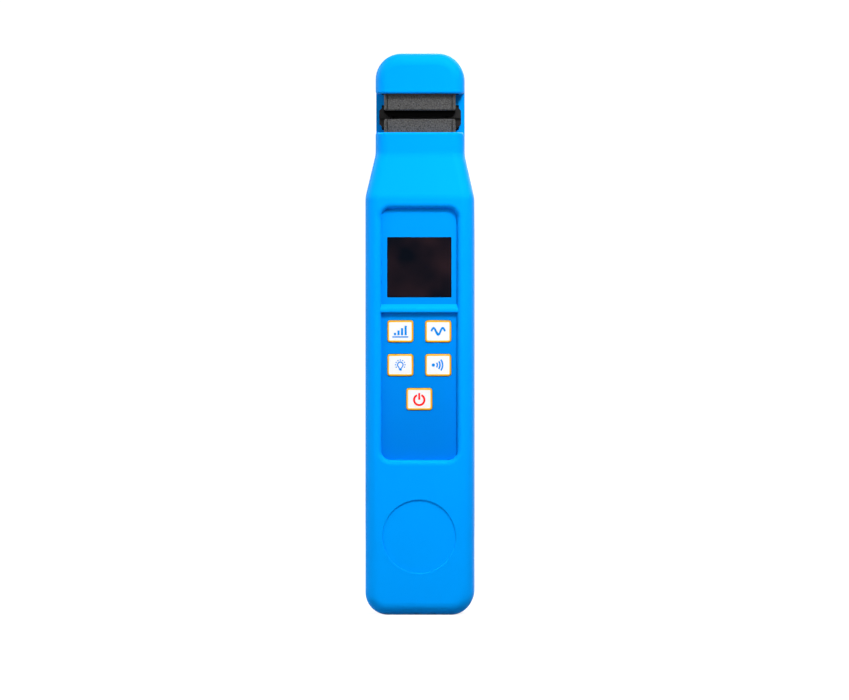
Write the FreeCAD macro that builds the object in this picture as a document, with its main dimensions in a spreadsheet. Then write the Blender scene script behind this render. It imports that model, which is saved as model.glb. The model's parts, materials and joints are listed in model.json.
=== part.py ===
import FreeCAD, Part

import math
import os

import Sketcher
from FreeCAD import Placement, Rotation, Vector

# An optical fibre identifier in a rubber boot: a hand tool that bends a fibre between two jaws
# and reads the light that leaks out. It stands on its lower end: +Z points to the head, the display
# and the keys face -Y, and the trigger is on the back.

# Driving sizes in millimetres
SIZES = {
    # Outer form
    "total_length": 205.0,
    "body_width": 39.4,
    "body_depth": 32.0,
    "neck_width": 32.3,
    "head_front_step": 5.0,
    "head_back_step": 4.5,
    "taper_start": 152.4,
    "taper_end": 168.0,
    "back_taper_start": 137.0,
    "back_taper_end": 152.0,
    "taper_blend": 12.0,
    "front_taper_bend": 6.0,
    "front_taper_crease": 7.0,
    "bottom_corner": 8.2,
    "top_corner": 9.5,
    "edge_round": 4.5,
    # Rubber boot
    "boot_wall": 2.0,
    "boot_front_wall": 2.4,
    "boot_clearance": 0.1,
    "boot_spine_front": 0.2,
    "window_width": 27.7,
    "window_bottom": 56.5,
    "window_top": 148.2,
    "window_corner": 3.4,
    "window_rim": 2.0,
    "strap_bottom": 110.2,
    "strap_height": 3.1,
    "strap_rise": 1.6,
    "strap_face": 1.3,
    "strap_bend": 1.2,
    "strap_edge": 0.5,
    "notch_floor": 176.1,
    "notch_top": 190.2,
    "notch_flange": 1.8,
    "lip_round": 0.9,
    "opening_rim": 0.6,
    "thumb_recess_centre": 28.6,
    "thumb_recess_radius": 13.3,
    "thumb_recess_depth": 0.5,
    "thumb_recess_rim": 0.3,
    "port_rim": 0.25,
    # How far a cutting solid reaches past the face it cuts
    "cut_past": 1.0,
    # Hard case
    "case_wall": 1.8,
    "case_split": -1.0,
    "case_ledge": 0.8,
    "spine_front": 3.0,
    "screw_clearance": 0.05,
    "post_radius": 2.3,
    "case_screw_radius": 1.0,
    "case_screw_head": 1.8,
    "case_screw_head_height": 1.5,
    "case_screw_side": 13.2,
    "case_screw_low": 68.5,
    "case_screw_high": 149.6,
    "case_screw_seat": 6.0,
    "case_screw_depth": 13.0,
    # Front panel
    "overlay_thickness": 0.5,
    "overlay_border": 0.9,
    "panel_gap": 0.15,
    "display_width": 23.2,
    "display_height": 21.7,
    "display_bottom": 115.9,
    "display_corner": 0.3,
    "lens_thickness": 1.2,
    "lens_ledge": 1.1,
    "gasket_thickness": 0.5,
    "module_thickness": 2.6,
    "module_border": 2.0,
    # Keys
    "key_width": 9.4,
    "key_height": 7.9,
    "key_corner": 1.0,
    "key_proud": 0.4,
    "key_edge": 0.2,
    "key_column": 6.9,
    "key_row_upper": 103.4,
    "key_row_lower": 91.1,
    "key_row_power": 78.7,
    "key_flange": 1.0,
    "key_flange_thickness": 0.8,
    "key_plunger_radius": 1.6,
    "key_plunger_length": 0.8,
    "key_travel": 0.5,
    "key_stop_gap": 0.1,
    # Electronics
    "switch_width": 4.5,
    "switch_height": 0.8,
    "switch_button_radius": 1.1,
    "switch_button_height": 0.3,
    "board_thickness": 1.6,
    "board_width": 29.4,
    "board_bottom": 61.0,
    "board_top": 146.0,
    "board_screw_radius": 0.8,
    "board_screw_head": 1.5,
    "board_screw_head_height": 1.0,
    "board_screw_length": 3.6,
    "board_screw_side": 12.3,
    "board_screw_low": 63.6,
    "board_screw_high": 143.2,
    "standoff_radius": 1.9,
    "buzzer_radius": 4.5,
    "buzzer_height": 2.6,
    "buzzer_place": 73.0,
    "chip_thickness": 1.2,
    "processor_width": 10.0,
    "processor_place": 126.0,
    "amplifier_width": 5.0,
    "amplifier_side": 8.0,
    "amplifier_place": 108.0,
    "supply_width": 4.5,
    "supply_side": 8.0,
    "supply_place": 92.0,
    # Jaws and fibre guides
    "jaw_side_gap": 1.15,
    "jaw_corner": 0.6,
    "jaw_gap": 0.3,
    "jaw_lip": 1.0,
    "jaw_seat_gap": 0.1,
    "jaw_end_strip": 0.95,
    "jaw_groove": 0.4,
    "jaw_groove_depth": 0.7,
    "jaw_bevel": 0.4,
    "upper_jaw_bottom": 184.1,
    "anvil_drop": 2.1,
    "anvil_seat": 0.8,
    "anvil_taper": 1.4,
    "anvil_strip": 1.2,
    "lower_jaw_top": 181.0,
    "jaw_stroke": 2.5,
    "press_inset": 3.5,
    "press_rise": 1.9,
    "press_shoulder": 2.1,
    "press_margin": 0.3,
    "jaw_stem_inset": 0.35,
    "jaw_plug_height": 1.5,
    "guide_inset": 1.2,
    "guide_bottom": 177.6,
    "guide_top": 186.0,
    "guide_bevel": 1.7,
    "guide_thickness": 2.6,
    "guide_slot": 0.9,
    "guide_slot_place": 181.05,
    "guide_slot_floor": 0.6,
    "guide_side_gap": 0.35,
    # Photodetectors
    "detector_side": 5.5,
    "detector_place": -0.4,
    "detector_can_radius": 2.3,
    "detector_can_height": 3.6,
    "detector_base_radius": 2.7,
    "detector_base_height": 0.6,
    "detector_pin_radius": 0.25,
    "detector_pin_spread": 1.2,
    "detector_gap": 0.1,
    "detector_sink": 1.0,
    "detector_window_radius": 0.8,
    "detector_board_thickness": 1.2,
    "detector_board_width": 21.0,
    "detector_board_front": -2.0,
    "detector_board_back": 4.2,
    # Push mechanism
    "slide_gap": 0.3,
    "slider_width": 10.0,
    "slider_neck_width": 9.2,
    "slider_front": -5.6,
    "slider_neck_front": -0.6,
    "slider_back": 4.4,
    "slider_top": 170.6,
    "slider_shoulder": 163.2,
    "slider_bottom": 146.0,
    "slider_flange_width": 20.8,
    "slider_flange_height": 2.2,
    "pin_radius": 1.2,
    "pin_gap": 0.08,
    "pin_side": 8.5,
    "pin_place": 2.0,
    "pin_bottom": 142.0,
    "shelf_bottom": 160.0,
    "shelf_height": 2.4,
    "lower_shelf_bottom": 141.0,
    "lower_shelf_height": 2.6,
    "spring_radius": 1.9,
    "spring_wire": 0.3,
    "spring_pitch": 2.4,
    "spring_end_gap": 0.05,
    "trigger_width": 12.6,
    "trigger_bottom": 158.6,
    "trigger_height": 15.6,
    "trigger_rise": 3.4,
    "trigger_stem_width": 7.4,
    "trigger_stem_bottom": 164.2,
    "trigger_stem_height": 6.4,
    "trigger_gap": 0.6,
    "trigger_slope": 4.0,
    "trigger_round": 0.8,
    "trigger_groove": 0.9,
    "trigger_groove_pitch": 2.1,
    "trigger_groove_top": 2.6,
    "trigger_groove_depth": 0.4,
    "mechanism_screw_radius": 0.9,
    "mechanism_screw_head": 1.5,
    "mechanism_screw_head_height": 1.3,
    "jaw_screw_side": 3.2,
    "jaw_screw_place": 1.0,
    "jaw_screw_length": 9.0,
    "jaw_screw_sink": 1.0,
    "trigger_screw_side": 2.1,
    "trigger_screw_place": 165.9,
    "trigger_screw_reach": 3.4,
    "trigger_screw_sink": 0.2,
    "cap_screw_side": 8.0,
    "cap_screw_place": -4.5,
    "cap_screw_reach": 4.5,
    "cap_screw_sink": 0.5,
    "cap_post_radius": 2.1,
    # Flat cable from the detectors to the main board
    "ribbon_thickness": 0.3,
    "ribbon_width": 5.0,
    "ribbon_side": 5.3,
    "ribbon_place": 6.0,
    "ribbon_turn": 134.0,
    "ribbon_room": 0.5,
    "ribbon_bend": 1.0,
    # Battery compartment
    "cell_radius": 5.25,
    "cell_length": 44.5,
    "cell_nub_radius": 1.9,
    "cell_nub_height": 1.0,
    "cell_gap": 0.15,
    "tray_bottom": 12.0,
    "tray_wall": 1.2,
    "contact_thickness": 0.4,
    "contact_width": 8.0,
    "contact_gap": 0.1,
    "contact_spring_height": 4.0,
    "contact_spring_radius": 2.6,
    "contact_spring_wire": 0.35,
    "contact_spring_pitch": 1.6,
    "door_overlap": 0.7,
    "door_gap": 0.15,
    "door_seat_gap": 0.1,
    "door_corner": 2.0,
    "door_scoop_width": 9.0,
    "door_scoop_height": 3.6,
    "door_scoop_depth": 0.7,
    "door_scoop_corner": 1.6,
    "door_scoop_place": 5.0,
    "door_window_margin": 0.8,
    # Visible fault locator and its port at the lower end
    "laser_tray_gap": 0.6,
    "laser_radius": 4.0,
    "laser_length": 26.0,
    "laser_can_radius": 2.8,
    "laser_can_length": 4.0,
    "laser_pin_radius": 0.25,
    "laser_pin_length": 3.0,
    "port_barrel_radius": 3.0,
    "port_barrel_length": 8.0,
    "port_flange_width": 13.0,
    "port_flange_depth": 8.0,
    "port_flange_height": 2.0,
    "port_nose_radius": 3.2,
    "port_gap": 0.1,
    "port_recess": 0.2,
    "ferrule_radius": 1.25,
    "sleeve_wall": 0.35,
    "sleeve_gap": 0.05,
    "saddle_width": 11.0,
    "saddle_thickness": 2.0,
    "saddle_low": 19.0,
    "saddle_high": 33.0,
    "cover_width": 12.4,
    "cover_reach": 5.6,
    "cover_hinge_reach": 8.0,
    "cover_hinge_radius": 0.75,
    "cover_hinge_gap": 0.06,
    "cover_stub": 1.2,
    "cover_thickness": 1.3,
    "cover_recess": 0.35,
    "cover_gap": 0.3,
    "cover_corner": 2.4,
    "cover_seal_radius": 2.6,
    "cover_seal_gap": 0.1,
}

doc = FreeCAD.newDocument("fiber_identifier")
dims = doc.addObject("Spreadsheet::Sheet", "dims")
for row, (alias, value) in enumerate(SIZES.items(), 1):
    dims.set(f"A{row}", alias)
    dims.set(f"B{row}", str(value))
    dims.setAlias(f"B{row}", alias)
doc.recompute()

# Planes shared by several pieces, as formulas on the driving sizes
BODY_SIDE = "(dims.body_width / 2)"
NECK_SIDE = "(dims.neck_width / 2)"
BODY_FRONT = "(-dims.body_depth / 2)"
BODY_BACK = "(dims.body_depth / 2)"
HEAD_FRONT = f"({BODY_FRONT} + dims.head_front_step)"
HEAD_BACK = f"({BODY_BACK} - dims.head_back_step)"
WINDOW_SIDE = "(dims.window_width / 2)"
CASE_INSET = "(dims.boot_wall + dims.boot_clearance)"
CASE_FRONT_INSET = "(dims.boot_front_wall + dims.boot_clearance)"
PANEL = f"({BODY_FRONT} + {CASE_FRONT_INSET})"
PANEL_BACK = f"({PANEL} + dims.case_wall)"
CASE_BACK = f"({BODY_BACK} - {CASE_INSET})"
HEAD_CASE_FRONT = f"({HEAD_FRONT} + {CASE_FRONT_INSET})"
HEAD_CASE_BACK = f"({HEAD_BACK} - {CASE_INSET})"
HEAD_ROOM_FRONT = f"({HEAD_CASE_FRONT} + dims.case_wall)"
HEAD_ROOM_BACK = f"({HEAD_CASE_BACK} - dims.case_wall)"
CASE_BOTTOM = CASE_INSET
CASE_FLOOR = f"({CASE_BOTTOM} + dims.case_wall)"
NECK_TOP = "(dims.notch_floor - dims.case_ledge)"
NECK_ROOF = f"({NECK_TOP} - dims.case_wall)"
CAP_BOTTOM = "(dims.notch_top + dims.case_ledge)"
CAP_TOP = f"(dims.total_length - {CASE_INSET})"
CAP_ROOF = f"({CAP_TOP} - dims.case_wall)"
CAP_SCREW_SEAT = f"({CAP_ROOF} - dims.cap_screw_sink)"

OVERLAY_SIDE = f"({WINDOW_SIDE} + dims.overlay_border)"
OVERLAY_BOTTOM = "(dims.window_bottom - dims.overlay_border)"
OVERLAY_TOP = "(dims.window_top + dims.overlay_border)"
OVERLAY_BACK = f"({PANEL} + dims.overlay_thickness)"
DISPLAY_SIDE = "(dims.display_width / 2)"
DISPLAY_TOP = "(dims.display_bottom + dims.display_height)"
MODULE_FRONT = f"({PANEL_BACK} + dims.gasket_thickness)"
MODULE_BACK = f"({MODULE_FRONT} + dims.module_thickness)"

KEY_FRONT = f"({PANEL} - dims.key_proud)"
KEY_FLANGE_FRONT = f"({PANEL_BACK} + dims.key_stop_gap)"
KEY_FLANGE_BACK = f"({KEY_FLANGE_FRONT} + dims.key_flange_thickness)"
KEY_PLUNGER_BACK = f"({KEY_FLANGE_BACK} + dims.key_plunger_length)"
SWITCH_TOP = f"({KEY_PLUNGER_BACK} + dims.key_travel + dims.key_stop_gap)"
BOARD_FRONT = f"({SWITCH_TOP} + dims.switch_button_height + dims.switch_height)"
BOARD_BACK = f"({BOARD_FRONT} + dims.board_thickness)"
BOARD_SIDE = "(dims.board_width / 2)"
KEYS = {
    "unit_key": ("-dims.key_column", "dims.key_row_upper"),
    "wavelength_key": ("dims.key_column", "dims.key_row_upper"),
    "backlight_key": ("-dims.key_column", "dims.key_row_lower"),
    "locator_key": ("dims.key_column", "dims.key_row_lower"),
    "power_key": ("0", "dims.key_row_power"),
}

PAST = "dims.cut_past"
JAW_SIDE = f"({NECK_SIDE} - dims.boot_wall - dims.jaw_side_gap)"
JAW_FRONT = f"({HEAD_FRONT} + dims.boot_front_wall + dims.jaw_gap)"
JAW_LIP_BACK = f"({JAW_FRONT} + dims.jaw_lip)"
ANVIL_FRONT = f"({JAW_LIP_BACK} + dims.slide_gap)"
ARCH_FRONT = f"({ANVIL_FRONT} + dims.anvil_strip)"
PRESS_FRONT = f"({ARCH_FRONT} + dims.slide_gap)"
JAW_BACK = "(dims.spine_front - dims.guide_side_gap)"
GUIDE_BACK = "(dims.boot_spine_front - dims.guide_side_gap)"
GUIDE_FRONT = f"({GUIDE_BACK} - dims.guide_thickness)"
JAW_END_BACK = f"({GUIDE_FRONT} - dims.guide_side_gap)"
LOWER_JAW_BOTTOM = f"({NECK_TOP} + dims.jaw_seat_gap)"
PRESS_SIDE = f"({JAW_SIDE} - dims.press_inset)"
PRESS_BASE = "(dims.lower_jaw_top - dims.press_shoulder)"
ANVIL_BOTTOM = "(dims.upper_jaw_bottom - dims.anvil_drop)"
ANVIL_SIDE = f"({PRESS_SIDE} + 2 * dims.press_margin)"
ANVIL_TOP = "(dims.upper_jaw_bottom + dims.anvil_seat)"
GUIDE_INNER = f"({ANVIL_SIDE} + dims.guide_side_gap)"
GUIDE_OUTER = f"({NECK_SIDE} - dims.guide_inset)"
JAW_STEM_FRONT = f"({HEAD_ROOM_FRONT} + dims.slide_gap)"
JAW_STEM_BACK = f"({JAW_BACK} - dims.jaw_stem_inset)"
PLUG_TOP = f"({CAP_BOTTOM} + dims.jaw_plug_height)"
DETECTOR_SEAT = f"({CAP_BOTTOM} - dims.detector_sink)"
DETECTOR_TOP = f"({DETECTOR_SEAT} + dims.detector_base_height)"
DETECTOR_BOTTOM = f"({DETECTOR_SEAT} - dims.detector_can_height)"

JAW_SCREW_SEAT = f"({PRESS_BASE} - dims.jaw_screw_sink - dims.mechanism_screw_head_height)"
TRIGGER_SCREW_SEAT = "(dims.slider_front + dims.mechanism_screw_head_height + dims.trigger_screw_sink)"
SHELF_TOP = "(dims.shelf_bottom + dims.shelf_height)"
LOWER_SHELF_TOP = "(dims.lower_shelf_bottom + dims.lower_shelf_height)"
FLANGE_TOP = "(dims.slider_bottom + dims.slider_flange_height)"
TRIGGER_FRONT = f"({HEAD_CASE_BACK} + dims.slide_gap)"
TRIGGER_BACK = f"({HEAD_BACK} + dims.trigger_rise)"
TRIGGER_SIDE = "(dims.trigger_width / 2)"
TRIGGER_TOP = "(dims.trigger_bottom + dims.trigger_height)"
STEM_SIDE = "(dims.trigger_stem_width / 2)"
STEM_TOP = "(dims.trigger_stem_bottom + dims.trigger_stem_height)"
RIBBON_FAR = "(dims.ribbon_side + dims.ribbon_width)"
RIBBON_BACK = "(dims.ribbon_place + dims.ribbon_thickness)"
RIBBON_ROOM = ("dims.ribbon_side - dims.ribbon_room", f"{RIBBON_FAR} + dims.ribbon_room",
               "dims.ribbon_place - dims.ribbon_room", f"{RIBBON_BACK} + dims.ribbon_room")
SHELF_EAR = "2 * dims.pin_radius"

CELL_SIDE = "(dims.cell_radius + dims.cell_gap)"
DOOR_FRONT = f"({CASE_BACK} - dims.case_wall)"
CELL_PLACE = f"({DOOR_FRONT} - dims.cell_gap - dims.cell_radius)"
TRAY_FLOOR = f"({CELL_PLACE} - dims.cell_radius - dims.cell_gap)"
TRAY_FRONT = f"({TRAY_FLOOR} - dims.tray_wall)"
TRAY_ROOM_SIDE = f"(2 * {CELL_SIDE} + dims.cell_gap)"
TRAY_SIDE = f"({TRAY_ROOM_SIDE} + dims.tray_wall)"
TRAY_ROOM_BOTTOM = "(dims.tray_bottom + dims.tray_wall)"
PLATE_TOP = f"({TRAY_ROOM_BOTTOM} + dims.contact_thickness)"
CELL_ROOM = "(dims.cell_length + dims.contact_spring_height + 2 * dims.contact_gap)"
PLATE_BOTTOM = f"({PLATE_TOP} + {CELL_ROOM})"
TRAY_ROOM_TOP = f"({PLATE_BOTTOM} + dims.contact_thickness)"
TRAY_TOP = f"({TRAY_ROOM_TOP} + dims.tray_wall)"
DOOR_SIDE = f"({TRAY_ROOM_SIDE} + dims.door_overlap)"
DOOR_BOTTOM = f"({TRAY_ROOM_BOTTOM} - dims.door_overlap)"
DOOR_TOP = f"({TRAY_ROOM_TOP} + dims.door_overlap)"

LASER_PLACE = f"({TRAY_FRONT} - dims.laser_tray_gap - dims.laser_radius)"
PORT_NOSE = f"({CASE_BOTTOM} + dims.port_recess)"
PORT_FLANGE_TOP = f"({CASE_FLOOR} + dims.port_flange_height)"
PORT_TOP = f"({PORT_FLANGE_TOP} + dims.port_barrel_length)"
SLEEVE_RADIUS = "(dims.ferrule_radius + dims.sleeve_wall)"
LASER_TOP = f"({PORT_TOP} + dims.laser_length)"
COVER_SIDE = "(dims.cover_width / 2)"
COVER_FRONT = f"({LASER_PLACE} - dims.cover_reach)"
COVER_HINGE = f"({LASER_PLACE} + dims.cover_hinge_reach)"
COVER_TOP = "(dims.cover_recess + dims.cover_thickness)"
COVER_HINGE_HEIGHT = "(dims.cover_recess + dims.cover_hinge_radius)"

SIDES = {"left": "-", "right": ""}
CHIPS = {
    "processor": ("0", "dims.processor_place", "dims.processor_width"),
    "amplifier": ("-dims.amplifier_side", "dims.amplifier_place", "dims.amplifier_width"),
    "supply": ("dims.supply_side", "dims.supply_place", "dims.supply_width"),
}


def number(formula):
    """The value of a formula on the sheet."""
    return float(dims.evalExpression(formula))


def bind(feature, **formulas):
    """Ties properties of a feature to the sheet."""
    for name, formula in formulas.items():
        feature.setExpression(name, formula)


def rectangle(left, right, low, high, radius=None):
    """Corners of a rectangle, rounded if a radius is given."""
    rounding = () if radius is None else (radius,)
    return [(x, y) + rounding for x, y in ((left, low), (right, low), (right, high), (left, high))]


def centred(x, y, width, height, radius=None):
    """Corners of a rectangle about a point."""
    return rectangle(f"{x} - ({width}) / 2", f"{x} + ({width}) / 2",
                     f"{y} - ({height}) / 2", f"{y} + ({height}) / 2", radius)


def place_point(sketch, geometry, end, x, y):
    """Ties a point of the sketch to its two coordinates."""
    for kind, formula in (("DistanceX", x), ("DistanceY", y)):
        constraint = Sketcher.Constraint(kind, -1, 1, geometry, end, number(formula))
        index = sketch.addConstraint(constraint)
        sketch.setExpression(f"Constraints[{index}]", formula)


def set_radius(sketch, geometry, formula):
    """Ties the radius of a circle or an arc."""
    index = sketch.addConstraint(Sketcher.Constraint("Radius", geometry, number(formula)))
    sketch.setExpression(f"Constraints[{index}]", formula)


def draw_disc(sketch, x, y, radius):
    """Draws a circle."""
    circle = Part.Circle(Vector(number(x), number(y), 0), Vector(0, 0, 1), number(radius))
    geometry = sketch.addGeometry(circle)
    place_point(sketch, geometry, 3, x, y)
    set_radius(sketch, geometry, radius)


def draw_crown(sketch, side, low, high, rise):
    """Draws a block from -side to side whose top edge is an arc that rises in the middle."""
    corners = [(f"-{side}", high), (f"-{side}", low), (side, low), (side, high)]
    points = [Vector(number(x), number(y), 0) for x, y in corners]
    lines = [sketch.addGeometry(Part.LineSegment(*points[index:index + 2])) for index in range(3)]
    top = Vector(0, number(high) + number(rise), 0)
    arc = sketch.addGeometry(Part.Arc(points[3], top, points[0]))
    for first, second in ((0, 1), (1, 2)):
        sketch.addConstraint(Sketcher.Constraint("Coincident", lines[first], 2, lines[second], 1))
    sketch.addConstraint(Sketcher.Constraint("Coincident", lines[2], 2, arc, 1))
    sketch.addConstraint(Sketcher.Constraint("Coincident", arc, 2, lines[0], 1))
    for index in range(3):
        place_point(sketch, lines[index], 1, *corners[index])
    place_point(sketch, lines[2], 2, *corners[3])
    set_radius(sketch, arc, f"({side} * {side} + {rise} * {rise}) / (2 * {rise})")


def corner_arc(before, corner, after, radius):
    """The two ends and the middle of the arc that rounds a corner."""
    towards = (before - corner).normalize()
    away = (after - corner).normalize()
    half_turn = towards.getAngle(away) / 2
    bisector = (towards + away).normalize()
    reach = radius / math.tan(half_turn)
    depth = radius / math.sin(half_turn) - radius
    return corner + towards * reach, corner + bisector * depth, corner + away * reach


def draw_outline(sketch, corners):
    """Draws a closed outline; a corner with a third value is rounded to that radius."""
    points = [Vector(number(corner[0]), number(corner[1]), 0) for corner in corners]
    count = len(points)
    arcs = {}
    for index, corner in enumerate(corners):
        if len(corner) == 3:
            arcs[index] = corner_arc(points[index - 1], points[index], points[(index + 1) % count],
                                     number(corner[2]))
    lines = []
    for index in range(count):
        following = (index + 1) % count
        start = arcs[index][2] if index in arcs else points[index]
        end = arcs[following][0] if following in arcs else points[following]
        lines.append(sketch.addGeometry(Part.LineSegment(start, end)))
    for index, corner in enumerate(corners):
        before, after = lines[index - 1], lines[index]
        if index not in arcs:
            sketch.addConstraint(Sketcher.Constraint("Coincident", before, 2, after, 1))
            place_point(sketch, after, 1, corner[0], corner[1])
            continue
        arc = sketch.addGeometry(Part.Arc(*arcs[index]))
        first = 1 if sketch.getPoint(arc, 1).distanceToPoint(arcs[index][0]) < 1e-6 else 2
        sketch.addConstraint(Sketcher.Constraint("Tangent", before, 2, arc, first))
        sketch.addConstraint(Sketcher.Constraint("Tangent", arc, 3 - first, after, 1))
        set_radius(sketch, arc, corner[2])
        tip = sketch.addGeometry(Part.Point(points[index]), True)
        sketch.addConstraint(Sketcher.Constraint("PointOnObject", tip, 1, before))
        sketch.addConstraint(Sketcher.Constraint("PointOnObject", tip, 1, after))
        place_point(sketch, tip, 1, corner[0], corner[1])


def draw(sketch, shapes):
    """Draws outlines, discs and crowns in one sketch."""
    for shape in shapes:
        if shape[0] == "disc":
            draw_disc(sketch, *shape[1:])
        elif shape[0] == "crown":
            draw_crown(sketch, *shape[1:])
        else:
            draw_outline(sketch, shape)


# A sketch plane is named by its two axes; XZ looks along +Y, so its normal points to -Y
TURNS = {
    "XY": Rotation(),
    "XZ": Rotation(Vector(1, 0, 0), 90),
    "YZ": Rotation(Vector(1, 1, 1), 120),
}
NORMAL_AXIS = {"XY": "z", "XZ": "y", "YZ": "x"}


def prism(name, plane, start, end, *shapes):
    """A free-standing extrusion between two places along the plane's normal."""
    sketch = doc.addObject("Sketcher::SketchObject", f"{name}_sketch")
    sketch.Placement = Placement(Vector(), TURNS[plane])
    sketch.setExpression(f"Placement.Base.{NORMAL_AXIS[plane]}", end if plane == "XZ" else start)
    draw(sketch, shapes)
    solid = doc.addObject("Part::Extrusion", name)
    solid.Base = sketch
    solid.DirMode = "Normal"
    solid.Solid = True
    solid.setExpression("LengthFwd", f"({end}) - ({start})")
    doc.recompute()
    return solid


def box(name, left, right, front, back, low, high):
    """A block between six planes."""
    solid = doc.addObject("Part::Box", name)
    bind(solid, Length=f"({right}) - ({left})", Width=f"({back}) - ({front})",
         Height=f"({high}) - ({low})")
    place(solid, left, front, low)
    return solid


def place(feature, x, y, z):
    """Ties the place of a feature to the sheet."""
    for axis, formula in zip("xyz", (x, y, z)):
        feature.setExpression(f"Placement.Base.{axis}", formula)


ALONG = {
    "+Z": Rotation(),
    "-Z": Rotation(Vector(1, 0, 0), 180),
    "+Y": Rotation(Vector(1, 0, 0), -90),
    "-Y": Rotation(Vector(1, 0, 0), 90),
    "+X": Rotation(Vector(0, 1, 0), 90),
}


def rod(name, radius, length, x, y, z, along="+Z"):
    """A cylinder that starts at a point and runs along an axis."""
    solid = doc.addObject("Part::Cylinder", name)
    solid.Placement = Placement(Vector(), ALONG[along])
    bind(solid, Radius=radius, Height=length)
    place(solid, x, y, z)
    return solid


def cut(name, base, *tools):
    """The base without the tools."""
    tool = tools[0] if len(tools) == 1 else group(f"{name}_tools", *tools)
    result = doc.addObject("Part::Cut", name)
    result.Base = base
    result.Tool = tool
    doc.recompute()
    return result


def common(name, first, second):
    """What two solids share."""
    result = doc.addObject("Part::MultiCommon", name)
    result.Shapes = [first, second]
    doc.recompute()
    return result


def fuse(name, *solids):
    """Several solids in one."""
    result = doc.addObject("Part::MultiFuse", name)
    result.Shapes = list(solids)
    result.Refine = True
    doc.recompute()
    return result


def group(name, *solids):
    """Separate solids kept together."""
    result = doc.addObject("Part::Compound", name)
    result.Links = list(solids)
    doc.recompute()
    return result


# Two faces meet smoothly where the cosine of the angle between their normals is above this
SMOOTH = 0.97


def sharp_edges(shape, chosen):
    """Numbers of the edges where two faces meet at an angle, and that pass the choice."""
    numbers = []
    for index, edge in enumerate(shape.Edges, 1):
        faces = shape.ancestorsOfType(edge, Part.Face)
        if len(faces) != 2:
            continue
        middle = edge.valueAt((edge.FirstParameter + edge.LastParameter) / 2)
        first, second = (face.normalAt(*face.Surface.parameter(middle)) for face in faces)
        if first.dot(second) < SMOOTH and chosen(edge, middle):
            numbers.append(index)
    return numbers


def lies_on(edge, axis, formula):
    """Whether a whole edge lies in the plane at that place along an axis."""
    value = number(formula)
    return all(abs(getattr(point, axis) - value) < 1e-3 for point in edge.discretize(4))


def rounded(name, base, *choices):
    """Rounds edges: each choice is a radius and a test for the edges that get it."""
    edges = []
    for radius, chosen in choices:
        size = number(radius)
        numbers = sharp_edges(base.Shape, chosen)
        if not numbers:
            raise RuntimeError(f"{name}: no edge to round")
        edges += [(index, size, size) for index in numbers]
    result = doc.addObject("Part::Fillet", name)
    result.Base = base
    result.Edges = edges
    doc.recompute()
    return result


def new_body(name):
    """An empty body for a piece made feature by feature."""
    return doc.addObject("PartDesign::Body", name)


def body_sketch(body, plane, start, shapes):
    """A sketch on one of the body's own planes, moved along the plane's normal."""
    sketch = body.newObject("Sketcher::SketchObject", f"{body.Name}_sketch")
    origin_plane = [item for item in body.Origin.OriginFeatures if item.Role == f"{plane}_Plane"][0]
    sketch.AttachmentSupport = [(origin_plane, "")]
    sketch.MapMode = "FlatFace"
    sign = "-" if plane == "XZ" else ""
    sketch.setExpression("AttachmentOffset.Base.z", f"{sign}({start})")
    draw(sketch, shapes)
    return sketch


def pad(body, plane, start, end, *shapes):
    """Adds an extrusion to a body."""
    feature = body.newObject("PartDesign::Pad", f"{body.Name}_pad")
    feature.Profile = body_sketch(body, plane, start, shapes)
    feature.Reversed = plane == "XZ"
    feature.setExpression("Length", f"({end}) - ({start})")
    doc.recompute()
    return feature


def pocket(body, plane, start, end, *shapes):
    """Cuts an extrusion out of a body, and checks that it took something away."""
    before = body.Shape.Volume
    feature = body.newObject("PartDesign::Pocket", f"{body.Name}_pocket")
    feature.Profile = body_sketch(body, plane, start, shapes)
    feature.Reversed = plane != "XZ"
    feature.setExpression("Length", f"({end}) - ({start})")
    doc.recompute()
    if not body.Shape.Volume < before:
        raise RuntimeError(f"{body.Name}: a pocket cuts nothing")
    return feature


def dress(body, kind, size, chosen):
    """Rounds or bevels the chosen sharp edges of a body."""
    numbers = sharp_edges(body.Shape, chosen)
    if not numbers:
        raise RuntimeError(f"{body.Name}: no edge to dress")
    base = body.Tip
    feature = body.newObject(f"PartDesign::{kind}", f"{body.Name}_{kind.lower()}")
    feature.Base = (base, [f"Edge{index}" for index in numbers])
    feature.setExpression("Radius" if kind == "Fillet" else "Size", size)
    doc.recompute()
    return feature


def screw(name, along, head_radius, head_height, radius, length, x, y, z):
    """A screw: the point given is under its head, and its shank runs along the axis."""
    shank = rod(f"{name}_shank", radius, length, x, y, z, along)
    opposite = {"+": "-", "-": "+"}[along[0]] + along[1]
    head = rod(f"{name}_head", head_radius, head_height, x, y, z, opposite)
    return fuse(name, head, shank)


def coil(name, radius, wire, pitch, height, x, y, z):
    """A round wire wound along +Z in tilted half turns that meet end to end."""
    travel = f"(({height}) - 2 * ({wire}))"
    count = round(2 * number(travel) / number(pitch))
    rise = f"({travel} / {count})"
    tilt = math.degrees(math.atan2(number(rise), 2 * number(radius)))
    halves = []
    for index in range(count):
        half = doc.addObject("Part::Torus", f"{name}_half_{index}")
        half.Angle3 = 180
        turned = Rotation(Vector(0, 0, 1), 180 * (index % 2))
        tipped = Rotation(Vector(0, 1, 0), -tilt if index % 2 else tilt)
        half.Placement = Placement(Vector(), tipped * turned)
        bind(half, Radius1=f"sqrt(({radius}) ^ 2 + ({rise} / 2) ^ 2)", Radius2=wire)
        place(half, x, y, f"({z}) + ({wire}) + {index + 0.5} * {rise}")
        halves.append(half)
    return fuse(name, *halves)


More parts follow.
